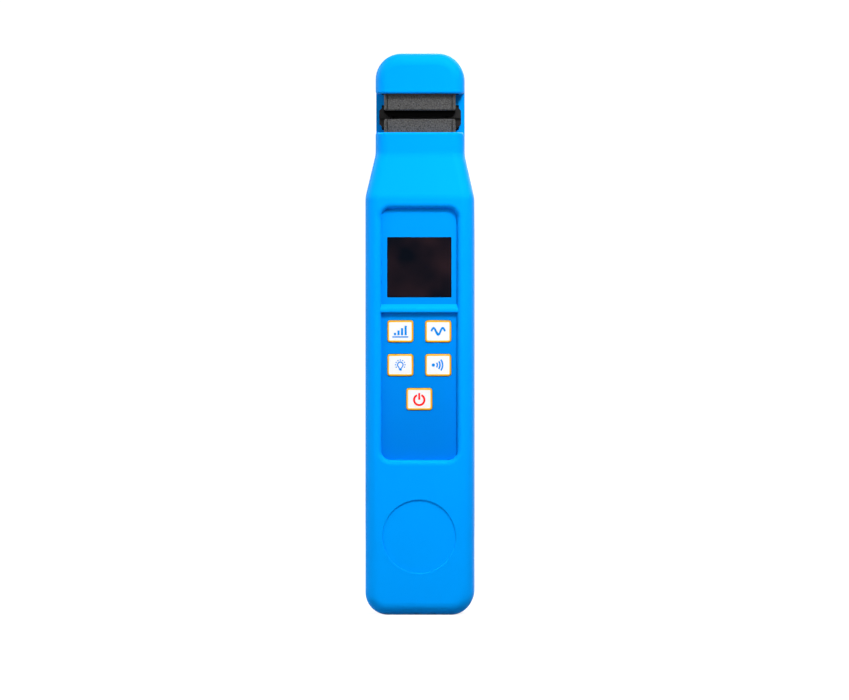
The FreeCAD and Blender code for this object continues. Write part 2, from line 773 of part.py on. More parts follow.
def form(name, side, front, back, ends):
    """The tool's whole outline with its walls drawn in, its edges still sharp."""
    body, neck = f"({BODY_SIDE} - ({side}))", f"({NECK_SIDE} - ({side}))"
    low, high = f"({ends})", f"(dims.total_length - ({ends}))"
    right = [
        (body, low, f"dims.bottom_corner - ({side})"),
        (body, "dims.taper_start", "dims.taper_blend"),
        (neck, "dims.taper_end", "dims.taper_blend"),
        (neck, high, f"dims.top_corner - ({side})"),
    ]
    left = [(f"-{x}", z, radius) for x, z, radius in reversed(right)]
    seen_from_front = prism(f"{name}_face", "XZ", BODY_FRONT, BODY_BACK, right + left)
    profile = [
        (f"{BODY_FRONT} + ({front})", low),
        (f"{BODY_BACK} - ({back})", low),
        (f"{BODY_BACK} - ({back})", "dims.back_taper_start", "dims.taper_blend"),
        (f"{HEAD_BACK} - ({back})", "dims.back_taper_end", "dims.taper_blend"),
        (f"{HEAD_BACK} - ({back})", high),
        (f"{HEAD_FRONT} + ({front})", high),
        (f"{HEAD_FRONT} + ({front})", "dims.taper_end", "dims.front_taper_crease"),
        (f"{BODY_FRONT} + ({front})", "dims.taper_start", "dims.front_taper_bend"),
    ]
    seen_from_side = prism(f"{name}_profile", "YZ", f"-{BODY_SIDE}", BODY_SIDE, profile)
    return common(name, seen_from_front, seen_from_side)


def any_edge(edge, middle):
    """Chooses every edge."""
    return True


def make_rubber_boot():
    """The sleeve: a shell with windows for the panel, jaws, trigger, battery door and port."""
    outside = rounded("boot_outside", form("boot_outline", "0", "0", "0", "0"),
                      ("dims.edge_round", any_edge))
    inside = rounded("boot_inside",
                     form("boot_room", "dims.boot_wall", "dims.boot_front_wall", "dims.boot_wall",
                          "dims.boot_wall"),
                     ("dims.edge_round - dims.boot_wall", any_edge))
    shell = cut("boot_shell", outside, inside)
    margin = "dims.door_window_margin"
    window = prism("boot_window", "XZ", f"{BODY_FRONT} - {PAST}", f"{PANEL} + dims.boot_clearance",
                   rectangle(f"-{WINDOW_SIDE}", WINDOW_SIDE, "dims.window_bottom", "dims.window_top",
                             "dims.window_corner"))
    notch = box("boot_notch", f"-{BODY_SIDE}", BODY_SIDE, BODY_FRONT, "dims.boot_spine_front",
                "dims.notch_floor", "dims.notch_top")
    trigger_window = prism("boot_trigger_window", "XZ", HEAD_ROOM_BACK, f"{BODY_BACK} + {PAST}",
                           rectangle(f"-{TRIGGER_SIDE} - dims.trigger_gap",
                                     f"{TRIGGER_SIDE} + dims.trigger_gap",
                                     "dims.trigger_bottom - dims.trigger_gap",
                                     f"{TRIGGER_TOP} + dims.jaw_stroke + dims.trigger_gap",
                                     "dims.door_corner"))
    door_window = prism("boot_door_window", "XZ", DOOR_FRONT, f"{BODY_BACK} + {PAST}",
                        rectangle(f"-{DOOR_SIDE} - {margin}", f"{DOOR_SIDE} + {margin}",
                                  f"{DOOR_BOTTOM} - {margin}", f"{DOOR_TOP} + {margin}",
                                  f"dims.door_corner + {margin}"))
    port_side = f"({COVER_SIDE} + dims.cover_gap)"
    port_front = f"{COVER_FRONT} - dims.cover_gap"
    port_back = f"{COVER_HINGE} + dims.cover_hinge_radius + dims.cover_gap"
    port_window = prism("boot_port_window", "XY", f"-{PAST}", f"{CASE_BOTTOM} - dims.boot_clearance / 2",
                        [(f"-{port_side}", port_front, "dims.cover_corner"),
                         (port_side, port_front, "dims.cover_corner"),
                         (port_side, port_back), (f"-{port_side}", port_back)])
    hinge_end = f"({COVER_SIDE} + dims.cover_stub + dims.cover_gap)"
    hinge_hole = rod("boot_hinge_hole", "dims.cover_hinge_radius + dims.cover_hinge_gap",
                     f"2 * {hinge_end}", f"-{hinge_end}", COVER_HINGE, COVER_HINGE_HEIGHT, "+X")
    thumb_recess = rod("boot_thumb_recess", "dims.thumb_recess_radius", "dims.body_depth", "0",
                       f"{BODY_FRONT} + dims.thumb_recess_depth", "dims.thumb_recess_centre", "-Y")
    opened = cut("boot_opened", shell, window, notch, trigger_window, door_window, port_window,
                 hinge_hole, thumb_recess)

    def window_edge(edge, middle):
        return lies_on(edge, "y", BODY_FRONT) and middle.z > number(OVERLAY_BOTTOM)

    rimmed = rounded("boot_rimmed", opened, ("dims.window_rim", window_edge))
    strap_back = f"{PANEL} - dims.boot_clearance"
    strap_front = f"{strap_back} - dims.strap_rise"
    strap_top = "dims.strap_bottom + dims.strap_height"
    strap = prism("boot_strap", "YZ", f"-{WINDOW_SIDE} - dims.boot_wall / 2",
                  f"{WINDOW_SIDE} + dims.boot_wall / 2",
                  [(strap_back, "dims.strap_bottom"),
                   (strap_front, "dims.strap_bottom", "dims.strap_edge"),
                   (strap_front, "dims.strap_bottom + dims.strap_face", "dims.strap_bend"),
                   (strap_back, strap_top)])
    flanges = []
    flange_inner = f"({NECK_SIDE} - dims.boot_wall - dims.notch_flange)"
    flange_outer = f"({NECK_SIDE} - dims.boot_wall / 2)"
    deep = ("dims.boot_spine_front", "dims.spine_front - dims.guide_side_gap")
    flange_sides = {
        "left": (f"-{flange_outer}", f"-{flange_inner}"),
        "right": (flange_inner, flange_outer),
    }
    for side, wide in flange_sides.items():
        flanges.append(box(f"boot_lower_flange_{side}", *wide, *deep, "dims.notch_floor",
                           "dims.guide_bottom - dims.guide_side_gap"))
        flanges.append(box(f"boot_upper_flange_{side}", *wide, *deep, "dims.guide_top + dims.guide_side_gap",
                           "dims.notch_top"))
    joined = fuse("boot_joined", rimmed, strap, *flanges)

    def lip_edge(edge, middle):
        level = lies_on(edge, "z", "dims.notch_floor") or lies_on(edge, "z", "dims.notch_top")
        outer_side = abs(middle.x) > number(f"{NECK_SIDE} - dims.boot_wall / 2")
        outer_front = middle.y < number(f"{HEAD_FRONT} + dims.boot_front_wall / 2")
        return level and (outer_side or outer_front)

    def back_edge(edge, middle):
        return lies_on(edge, "y", BODY_BACK) or lies_on(edge, "y", HEAD_BACK)

    def recess_edge(edge, middle):
        return lies_on(edge, "y", BODY_FRONT) and middle.z < number(OVERLAY_BOTTOM)

    def port_edge(edge, middle):
        return lies_on(edge, "z", "0")

    return rounded("rubber_boot", joined, ("dims.lip_round", lip_edge), ("dims.opening_rim", back_edge),
                   ("dims.thumb_recess_rim", recess_edge), ("dims.port_rim", port_edge))


def make_case_shells():
    """The hard case, hollow and notched for the jaws, parted into its front and its rear shell."""
    outside = rounded("case_outside", form("case_outline", CASE_INSET, CASE_FRONT_INSET, CASE_INSET,
                                           CASE_INSET),
                      (f"dims.edge_round - {CASE_INSET}", any_edge))
    room = form("case_room", f"{CASE_INSET} + dims.case_wall", f"{CASE_FRONT_INSET} + dims.case_wall",
                f"{CASE_INSET} + dims.case_wall", f"{CASE_INSET} + dims.case_wall")
    wide = (f"-{BODY_SIDE}", BODY_SIDE, BODY_FRONT)
    notch = box("case_notch", *wide, "dims.spine_front", NECK_TOP, CAP_BOTTOM)
    body_room = common("body_room", room, box("below_neck", *wide, BODY_BACK, "0", NECK_ROOF))
    cap_room = common("cap_room", room, box("above_notch", *wide, BODY_BACK, CAP_BOTTOM,
                                            "dims.total_length"))
    jaw_hole = box("jaw_hole", f"-{PRESS_SIDE} - dims.slide_gap", f"{PRESS_SIDE} + dims.slide_gap",
                   f"{JAW_STEM_FRONT} - dims.slide_gap", f"{JAW_STEM_BACK} + dims.slide_gap",
                   f"{NECK_ROOF} - dims.case_wall", f"{NECK_TOP} + dims.case_wall")
    ribbon_duct = box("ribbon_duct", *RIBBON_ROOM, f"{NECK_ROOF} - dims.case_wall",
                      f"{CAP_BOTTOM} + dims.case_wall")
    port_hole = rod("port_hole", "dims.port_nose_radius + dims.port_gap", CASE_FLOOR, "0", LASER_PLACE, PAST)
    hollow = cut("case_shell", outside, notch, body_room, cap_room, jaw_hole, ribbon_duct, port_hole)
    front_half = box("front_half", *wide, "dims.case_split", "0", f"{NECK_TOP} + dims.case_wall")
    return outside, common("front_shell", hollow, front_half), cut("rear_shell", hollow, front_half)


def key_hole(x, z, gap):
    """The outline of the opening that a key passes through."""
    return centred(x, z, f"dims.key_width + 2 * {gap}", f"dims.key_height + 2 * {gap}",
                   f"dims.key_corner + {gap}")


def display_outline(margin, corner):
    """The outline of the display window, grown by a margin."""
    return rectangle(f"-{DISPLAY_SIDE} - ({margin})", f"{DISPLAY_SIDE} + ({margin})",
                     f"dims.display_bottom - ({margin})", f"{DISPLAY_TOP} + ({margin})", corner)


def make_front_housing(shell):
    """The front shell with its screw posts, board standoffs, laser saddles and panel openings."""
    root = f"{PANEL} + dims.case_wall / 2"
    solids = [shell]
    holes = []
    for side, sign in SIDES.items():
        for level in ("low", "high"):
            place_x, place_z = f"{sign}dims.case_screw_side", f"dims.case_screw_{level}"
            solids.append(rod(f"front_post_{side}_{level}", "dims.post_radius",
                              f"dims.case_split - ({root})", place_x, root, place_z, "+Y"))
            holes.append(rod(f"front_post_hole_{side}_{level}",
                             "dims.case_screw_radius + dims.screw_clearance",
                             "dims.case_screw_depth", place_x, "dims.case_split", place_z, "-Y"))
            place_x, place_z = f"{sign}dims.board_screw_side", f"dims.board_screw_{level}"
            solids.append(rod(f"standoff_{side}_{level}", "dims.standoff_radius",
                              f"{BOARD_FRONT} - ({root})", place_x, root, place_z, "+Y"))
            holes.append(rod(f"standoff_hole_{side}_{level}",
                             "dims.board_screw_radius + dims.screw_clearance",
                             f"{BOARD_FRONT} - {PANEL_BACK}", place_x, BOARD_FRONT, place_z, "-Y"))
    for level in ("low", "high"):
        base = f"dims.saddle_{level}"
        solids.append(box(f"saddle_{level}", "-dims.saddle_width / 2", "dims.saddle_width / 2", root,
                          LASER_PLACE, base, f"{base} + dims.saddle_thickness"))
    holes.append(rod("laser_room", "dims.laser_radius + dims.port_gap", "dims.laser_length", "0",
                     LASER_PLACE, PORT_TOP))
    outer = f"{PANEL} - {PAST}"
    gap = "dims.panel_gap"
    holes.append(prism("overlay_seat", "XZ", outer, OVERLAY_BACK,
                       rectangle(f"-{OVERLAY_SIDE} - {gap}", f"{OVERLAY_SIDE} + {gap}",
                                 f"{OVERLAY_BOTTOM} - {gap}", f"{OVERLAY_TOP} + {gap}",
                                 f"dims.window_corner + {gap}")))
    holes.append(prism("lens_seat", "XZ", outer, f"{PANEL} + dims.lens_thickness",
                       display_outline(gap, "dims.display_corner")))
    holes.append(prism("display_hole", "XZ", outer, f"{PANEL_BACK} + {PAST}",
                       display_outline("-dims.lens_ledge", "dims.key_corner")))
    for name, (x, z) in KEYS.items():
        holes.append(prism(f"{name}_hole", "XZ", outer, f"{PANEL_BACK} + {PAST}", key_hole(x, z, gap)))
    return cut("front_housing", fuse("front_built", *solids), *holes)


def make_rear_housing(shell, outside):
    """The rear shell with its cap and spine, the battery tray, the pin shelves and the screw posts."""
    fit = "dims.screw_clearance"
    wide = (f"-{BODY_SIDE}", BODY_SIDE)
    inner = [
        box("tray_block", f"-{TRAY_SIDE}", TRAY_SIDE, TRAY_FRONT, CASE_BACK, "dims.tray_bottom", TRAY_TOP),
        box("upper_shelf", *wide, "dims.case_split", HEAD_CASE_BACK, "dims.shelf_bottom", SHELF_TOP),
        box("lower_shelf", *wide, "dims.case_split", CASE_BACK, "dims.lower_shelf_bottom", LOWER_SHELF_TOP),
    ]
    holes = [
        box("tray_room", f"-{TRAY_ROOM_SIDE}", TRAY_ROOM_SIDE, TRAY_FLOOR, f"{CASE_BACK} + {PAST}",
            TRAY_ROOM_BOTTOM, TRAY_ROOM_TOP),
        prism("door_hole", "XZ", f"{DOOR_FRONT} - dims.door_seat_gap", f"{CASE_BACK} + {PAST}",
              rectangle(f"-{DOOR_SIDE} - dims.door_gap", f"{DOOR_SIDE} + dims.door_gap",
                        f"{DOOR_BOTTOM} - dims.door_gap", f"{DOOR_TOP} + dims.door_gap",
                        "dims.door_corner + dims.door_gap")),
        box("shelf_gap", "-dims.slider_neck_width / 2 - dims.slide_gap",
            "dims.slider_neck_width / 2 + dims.slide_gap", f"dims.case_split - {PAST}",
            "dims.slider_back + dims.slide_gap", f"dims.shelf_bottom - {PAST}", f"{SHELF_TOP} + {PAST}"),
        box("lower_shelf_gap", f"-dims.pin_side + {SHELF_EAR}", f"dims.pin_side - {SHELF_EAR}",
            f"dims.case_split - {PAST}", HEAD_ROOM_BACK, f"dims.lower_shelf_bottom - {PAST}",
            f"{LOWER_SHELF_TOP} + {PAST}"),
        box("ribbon_slot", *RIBBON_ROOM, f"dims.lower_shelf_bottom - {PAST}", f"{SHELF_TOP} + {PAST}"),
        box("trigger_slot", f"-{STEM_SIDE} - dims.slide_gap", f"{STEM_SIDE} + dims.slide_gap",
            f"{HEAD_ROOM_BACK} - {PAST}", f"{HEAD_CASE_BACK} + {PAST}",
            "dims.trigger_stem_bottom - dims.slide_gap",
            f"{STEM_TOP} + dims.jaw_stroke + dims.slide_gap"),
    ]
    for side, sign in SIDES.items():
        holes.append(rod(f"pin_hole_{side}", "dims.pin_radius + dims.screw_clearance / 2",
                         f"{SHELF_TOP} - dims.pin_bottom + {PAST}", f"{sign}dims.pin_side",
                         "dims.pin_place", "dims.pin_bottom"))
        for level in ("low", "high"):
            x, z = f"{sign}dims.case_screw_side", f"dims.case_screw_{level}"
            inner.append(rod(f"rear_post_{side}_{level}", "dims.post_radius",
                             f"{CASE_BACK} - dims.case_split", x, "dims.case_split", z, "+Y"))
            holes.append(rod(f"rear_post_hole_{side}_{level}", f"dims.case_screw_radius + {fit}",
                             "dims.body_depth", x, "dims.case_split", z, "+Y"))
            holes.append(rod(f"rear_post_recess_{side}_{level}", f"dims.case_screw_head + {fit}",
                             "dims.body_depth", x, "dims.case_screw_seat", z, "+Y"))
        x, y = f"{sign}dims.cap_screw_side", "dims.cap_screw_place"
        inner.append(rod(f"cap_post_{side}", "dims.cap_post_radius", f"{CAP_TOP} - {PLUG_TOP}", x, y,
                         PLUG_TOP))
        holes.append(rod(f"cap_hole_{side}", f"dims.mechanism_screw_radius + {fit}",
                         f"{CAP_TOP} - {PLUG_TOP}", x, y, PLUG_TOP))
        holes.append(rod(f"cap_recess_{side}", f"dims.mechanism_screw_head + {fit}", "dims.case_wall * 2",
                         x, y, CAP_SCREW_SEAT))
    trimmed = common("rear_inner", outside, fuse("rear_inner_block", *inner))
    return cut("rear_housing", fuse("rear_built", shell, trimmed), *holes)


def make_panel():
    """The printed front sheet, the display window and what lies behind them."""
    overlay = new_body("keypad_overlay")
    holes = [key_hole(x, z, "dims.panel_gap") for x, z in KEYS.values()]
    holes.append(display_outline("dims.panel_gap", "dims.display_corner"))
    pad(overlay, "XZ", PANEL, OVERLAY_BACK,
        rectangle(f"-{OVERLAY_SIDE}", OVERLAY_SIDE, OVERLAY_BOTTOM, OVERLAY_TOP, "dims.window_corner"),
        *holes)

    lens = new_body("display_lens")
    pad(lens, "XZ", PANEL, f"{PANEL} + dims.lens_thickness", display_outline("0", "dims.display_corner"))
    dress(lens, "Chamfer", "dims.key_edge", lambda edge, middle: lies_on(edge, "y", PANEL))

    gasket = new_body("display_gasket")
    pad(gasket, "XZ", PANEL_BACK, MODULE_FRONT,
        display_outline("dims.module_border / 2", "dims.key_corner"),
        display_outline("-dims.lens_ledge", "dims.key_corner"))

    module = new_body("display_module")
    pad(module, "XZ", MODULE_FRONT, MODULE_BACK, display_outline("dims.module_border", "dims.key_corner"))
    return [overlay, lens, gasket, module]


def make_keys():
    """Five keys, each with a flange behind the panel and a plunger over its switch."""
    keys = []
    for name, (x, z) in KEYS.items():
        key = new_body(name)
        pad(key, "XZ", KEY_FRONT, KEY_FLANGE_FRONT, key_hole(x, z, "0"))
        pad(key, "XZ", KEY_FLANGE_FRONT, KEY_FLANGE_BACK, key_hole(x, z, "dims.key_flange"))
        pad(key, "XZ", KEY_FLANGE_BACK, KEY_PLUNGER_BACK, ("disc", x, z, "dims.key_plunger_radius"))
        dress(key, "Fillet", "dims.key_edge", lambda edge, middle: lies_on(edge, "y", KEY_FRONT))
        keys.append(key)
    return keys


def make_electronics():
    """The main board with its switches, chips, buzzer and screws."""
    board = new_body("main_board")
    screws = []
    holes = []
    notches = []
    for side, sign in SIDES.items():
        notches.append(("disc", f"{sign}dims.case_screw_side", "dims.case_screw_low",
                        "dims.post_radius + dims.slide_gap"))
        for level in ("low", "high"):
            x, z = f"{sign}dims.board_screw_side", f"dims.board_screw_{level}"
            holes.append(("disc", x, z, "dims.board_screw_radius + dims.screw_clearance"))
            screws.append(screw(f"board_screw_{side}_{level}", "-Y", "dims.board_screw_head",
                                "dims.board_screw_head_height", "dims.board_screw_radius",
                                "dims.board_screw_length", x, BOARD_BACK, z))
    pad(board, "XZ", BOARD_FRONT, BOARD_BACK,
        rectangle(f"-{BOARD_SIDE}", BOARD_SIDE, "dims.board_bottom", "dims.board_top", "dims.key_corner"))
    pocket(board, "XZ", BOARD_FRONT, BOARD_BACK, *holes)
    for notch in notches:
        pocket(board, "XZ", BOARD_FRONT, BOARD_BACK, notch)

    switches = []
    half = "dims.switch_width / 2"
    for name, (x, z) in KEYS.items():
        base = box(f"{name}_switch_base", f"{x} - {half}", f"{x} + {half}",
                   f"{BOARD_FRONT} - dims.switch_height", BOARD_FRONT, f"{z} - {half}", f"{z} + {half}")
        button = rod(f"{name}_switch_button", "dims.switch_button_radius",
                     "dims.switch_button_height + dims.switch_height", x, BOARD_FRONT, z, "-Y")
        switches.append(fuse(f"{name}_switch", base, button))

    chips = []
    for name, (x, z, width) in CHIPS.items():
        chips.append(box(f"{name}_chip", f"{x} - {width} / 2", f"{x} + {width} / 2", BOARD_BACK,
                         f"{BOARD_BACK} + dims.chip_thickness", f"{z} - {width} / 2", f"{z} + {width} / 2"))
    buzzer = rod("buzzer", "dims.buzzer_radius", "dims.buzzer_height", "0", BOARD_BACK,
                 "dims.buzzer_place", "+Y")
    return [board, group("key_switches", *switches), group("board_chips", *chips), buzzer,
            group("board_screws", *screws)]


def jaw_grooves(low, high):
    """The two upright grooves that part the face of a jaw from its end strips."""
    outer = f"({JAW_SIDE} - dims.jaw_end_strip)"
    inner = f"({outer} - dims.jaw_groove)"
    return [rectangle(inner, outer, low, high), rectangle(f"-{outer}", f"-{inner}", low, high)]


def jaw_corner(edge, middle):
    """Chooses the upright outer edges on the front of a jaw."""
    at_end = lies_on(edge, "x", JAW_SIDE) or lies_on(edge, "x", f"-{JAW_SIDE}")
    return at_end and lies_on(edge, "y", JAW_FRONT)


def jaw_edge(height):
    """A choice of the front edges of a jaw at one height."""
    return lambda edge, middle: lies_on(edge, "y", JAW_FRONT) and lies_on(edge, "z", height)


def make_jaws():
    """The fixed upper jaw, the arched anvil under it, and the moving lower jaw with the matching crown."""
    upper = new_body("upper_jaw")
    pad(upper, "XZ", JAW_FRONT, ANVIL_FRONT,
        rectangle(f"-{JAW_SIDE}", JAW_SIDE, "dims.upper_jaw_bottom", CAP_BOTTOM))
    pad(upper, "XZ", ANVIL_FRONT, JAW_END_BACK, rectangle(f"-{JAW_SIDE}", JAW_SIDE, ANVIL_TOP, CAP_BOTTOM))
    pad(upper, "XZ", JAW_END_BACK, JAW_BACK, rectangle(f"-{ANVIL_SIDE}", ANVIL_SIDE, ANVIL_TOP, CAP_BOTTOM))
    plug_side = f"({NECK_SIDE} - {CASE_INSET} - dims.case_wall - dims.slide_gap)"
    pad(upper, "XY", CAP_BOTTOM, PLUG_TOP, rectangle(f"-{plug_side}", plug_side, JAW_STEM_FRONT, JAW_BACK))
    pocket(upper, "XZ", JAW_FRONT, f"{JAW_FRONT} + dims.jaw_groove_depth",
           *jaw_grooves(f"dims.upper_jaw_bottom - {PAST}", f"{CAP_BOTTOM} + {PAST}"))
    for sign in SIDES.values():
        x, y = f"{sign}dims.detector_side", "dims.detector_place"
        pocket(upper, "XY", f"{DETECTOR_BOTTOM} - dims.detector_gap", PLUG_TOP,
               ("disc", x, y, "dims.detector_can_radius + dims.detector_gap"))
        pocket(upper, "XY", DETECTOR_SEAT, PLUG_TOP,
               ("disc", x, y, "dims.detector_base_radius + dims.detector_gap"))
        pocket(upper, "XY", ANVIL_TOP, DETECTOR_BOTTOM, ("disc", x, y, "dims.detector_window_radius"))
        pocket(upper, "XY", f"{PLUG_TOP} - dims.cap_screw_reach", PLUG_TOP,
               ("disc", f"{sign}dims.cap_screw_side", "dims.cap_screw_place",
                "dims.mechanism_screw_radius + dims.screw_clearance"))
    dress(upper, "Fillet", "dims.jaw_corner", jaw_corner)
    dress(upper, "Chamfer", "dims.jaw_bevel", jaw_edge("dims.upper_jaw_bottom"))

    end = "dims.anvil_taper"
    anvil = new_body("anvil")
    pad(anvil, "XZ", ANVIL_FRONT, JAW_END_BACK,
        [(f"-{JAW_SIDE}", ANVIL_TOP), (f"-{JAW_SIDE}", f"{ANVIL_BOTTOM} + {end}"),
         (f"-{JAW_SIDE} + {end}", ANVIL_BOTTOM), (f"{JAW_SIDE} - {end}", ANVIL_BOTTOM),
         (JAW_SIDE, f"{ANVIL_BOTTOM} + {end}"), (JAW_SIDE, ANVIL_TOP)])
    pad(anvil, "XZ", JAW_END_BACK, JAW_BACK,
        rectangle(f"-{ANVIL_SIDE}", ANVIL_SIDE, ANVIL_BOTTOM, ANVIL_TOP))
    pocket(anvil, "XZ", ARCH_FRONT, JAW_BACK,
           ("crown", f"({PRESS_SIDE} + dims.press_margin)", f"{ANVIL_BOTTOM} - {PAST}", ANVIL_BOTTOM,
            "dims.press_rise"))
    for sign in SIDES.values():
        pocket(anvil, "XY", ANVIL_BOTTOM, ANVIL_TOP,
               ("disc", f"{sign}dims.detector_side", "dims.detector_place", "dims.detector_window_radius"))

    lower = new_body("lower_jaw")
    pad(lower, "XZ", JAW_FRONT, JAW_LIP_BACK,
        rectangle(f"-{JAW_SIDE}", JAW_SIDE, LOWER_JAW_BOTTOM, "dims.lower_jaw_top"))
    pad(lower, "XZ", JAW_LIP_BACK, JAW_END_BACK,
        rectangle(f"-{JAW_SIDE}", JAW_SIDE, LOWER_JAW_BOTTOM, PRESS_BASE))
    pad(lower, "XZ", PRESS_FRONT, JAW_BACK,
        ("crown", PRESS_SIDE, LOWER_JAW_BOTTOM, PRESS_BASE, "dims.press_rise"))
    pad(lower, "XY", "dims.slider_top", LOWER_JAW_BOTTOM,
        rectangle(f"-{PRESS_SIDE}", PRESS_SIDE, JAW_STEM_FRONT, JAW_STEM_BACK))
    pocket(lower, "XZ", JAW_FRONT, f"{JAW_FRONT} + dims.jaw_groove_depth",
           *jaw_grooves(f"{LOWER_JAW_BOTTOM} - {PAST}", f"dims.lower_jaw_top + {PAST}"))
    for sign in SIDES.values():
        x, y = f"{sign}dims.jaw_screw_side", "dims.jaw_screw_place"
        pocket(lower, "XY", "dims.slider_top", "dims.lower_jaw_top",
               ("disc", x, y, "dims.mechanism_screw_radius + dims.screw_clearance"))
        pocket(lower, "XY", JAW_SCREW_SEAT, "dims.lower_jaw_top",
               ("disc", x, y, "dims.mechanism_screw_head + dims.screw_clearance"))
    dress(lower, "Fillet", "dims.jaw_corner", jaw_corner)
    dress(lower, "Chamfer", "dims.jaw_bevel", jaw_edge("dims.lower_jaw_top"))
    return [upper, anvil, lower]


def make_guides():
    """The slotted guides at both ends of the jaws that hold the fibre level."""
    guides = []
    slot_low = "dims.guide_slot_place - dims.guide_slot / 2"
    slot_high = "dims.guide_slot_place + dims.guide_slot / 2"
    for side, sign in SIDES.items():
        guide = new_body(f"{side}_fiber_guide")
        pad(guide, "XZ", GUIDE_FRONT, GUIDE_BACK,
            [(f"{sign}{GUIDE_INNER}", "dims.guide_bottom"),
             (f"{sign}({GUIDE_OUTER} - dims.guide_bevel)", "dims.guide_bottom"),
             (f"{sign}{GUIDE_OUTER}", "dims.guide_bottom + dims.guide_bevel"),
             (f"{sign}{GUIDE_OUTER}", "dims.guide_top - dims.guide_bevel"),
             (f"{sign}({GUIDE_OUTER} - dims.guide_bevel)", "dims.guide_top"),
             (f"{sign}{GUIDE_INNER}", "dims.guide_top")])
        foot = rectangle(f"{sign}{GUIDE_INNER}",
                         f"{sign}({NECK_SIDE} - dims.boot_wall - 2 * dims.guide_side_gap)",
                         "dims.guide_bottom", "dims.guide_top")
        pad(guide, "XZ", GUIDE_BACK, "dims.spine_front", foot)
        slot = rectangle(f"{sign}({GUIDE_INNER} - {PAST})", f"{sign}({GUIDE_OUTER} + {PAST})", slot_low,
                         slot_high)
        pocket(guide, "XZ", GUIDE_FRONT, f"{GUIDE_BACK} - dims.guide_slot_floor", slot)
        guides.append(guide)
    return guides


def make_detectors():
    """The two photodetectors in the upper jaw, their board and the flat cable to the main board."""
    pieces = []
    for side, sign in SIDES.items():
        x, y = f"{sign}dims.detector_side", "dims.detector_place"
        detector = new_body(f"{side}_detector")
        pad(detector, "XY", DETECTOR_BOTTOM, DETECTOR_SEAT, ("disc", x, y, "dims.detector_can_radius"))
        pad(detector, "XY", DETECTOR_SEAT, DETECTOR_TOP, ("disc", x, y, "dims.detector_base_radius"))
        pins = [("disc", f"{x} {shift} dims.detector_pin_spread", y, "dims.detector_pin_radius")
                for shift in "-+"]
        pad(detector, "XY", DETECTOR_TOP, PLUG_TOP, *pins)
        pieces.append(detector)
    board = new_body("detector_board")
    pad(board, "XY", PLUG_TOP, f"{PLUG_TOP} + dims.detector_board_thickness",
        rectangle("-dims.detector_board_width / 2", "dims.detector_board_width / 2",
                  "dims.detector_board_front", "dims.detector_board_back", "dims.key_corner"))
    ribbon = new_body("sensor_ribbon")
    top = f"{PLUG_TOP} + dims.detector_board_thickness / 2"
    inner_bend, outer_bend = "dims.ribbon_bend", "dims.ribbon_bend + dims.ribbon_thickness"
    pad(ribbon, "YZ", "dims.ribbon_side", RIBBON_FAR,
        [("dims.detector_board_back", top), (RIBBON_BACK, top, outer_bend),
         (RIBBON_BACK, "dims.ribbon_turn", outer_bend), (BOARD_BACK, "dims.ribbon_turn"),
         (BOARD_BACK, "dims.ribbon_turn + dims.ribbon_thickness"),
         ("dims.ribbon_place", "dims.ribbon_turn + dims.ribbon_thickness", inner_bend),
         ("dims.ribbon_place", f"{top} - dims.ribbon_thickness", inner_bend),
         ("dims.detector_board_back", f"{top} - dims.ribbon_thickness")])
    return pieces + [board, ribbon]


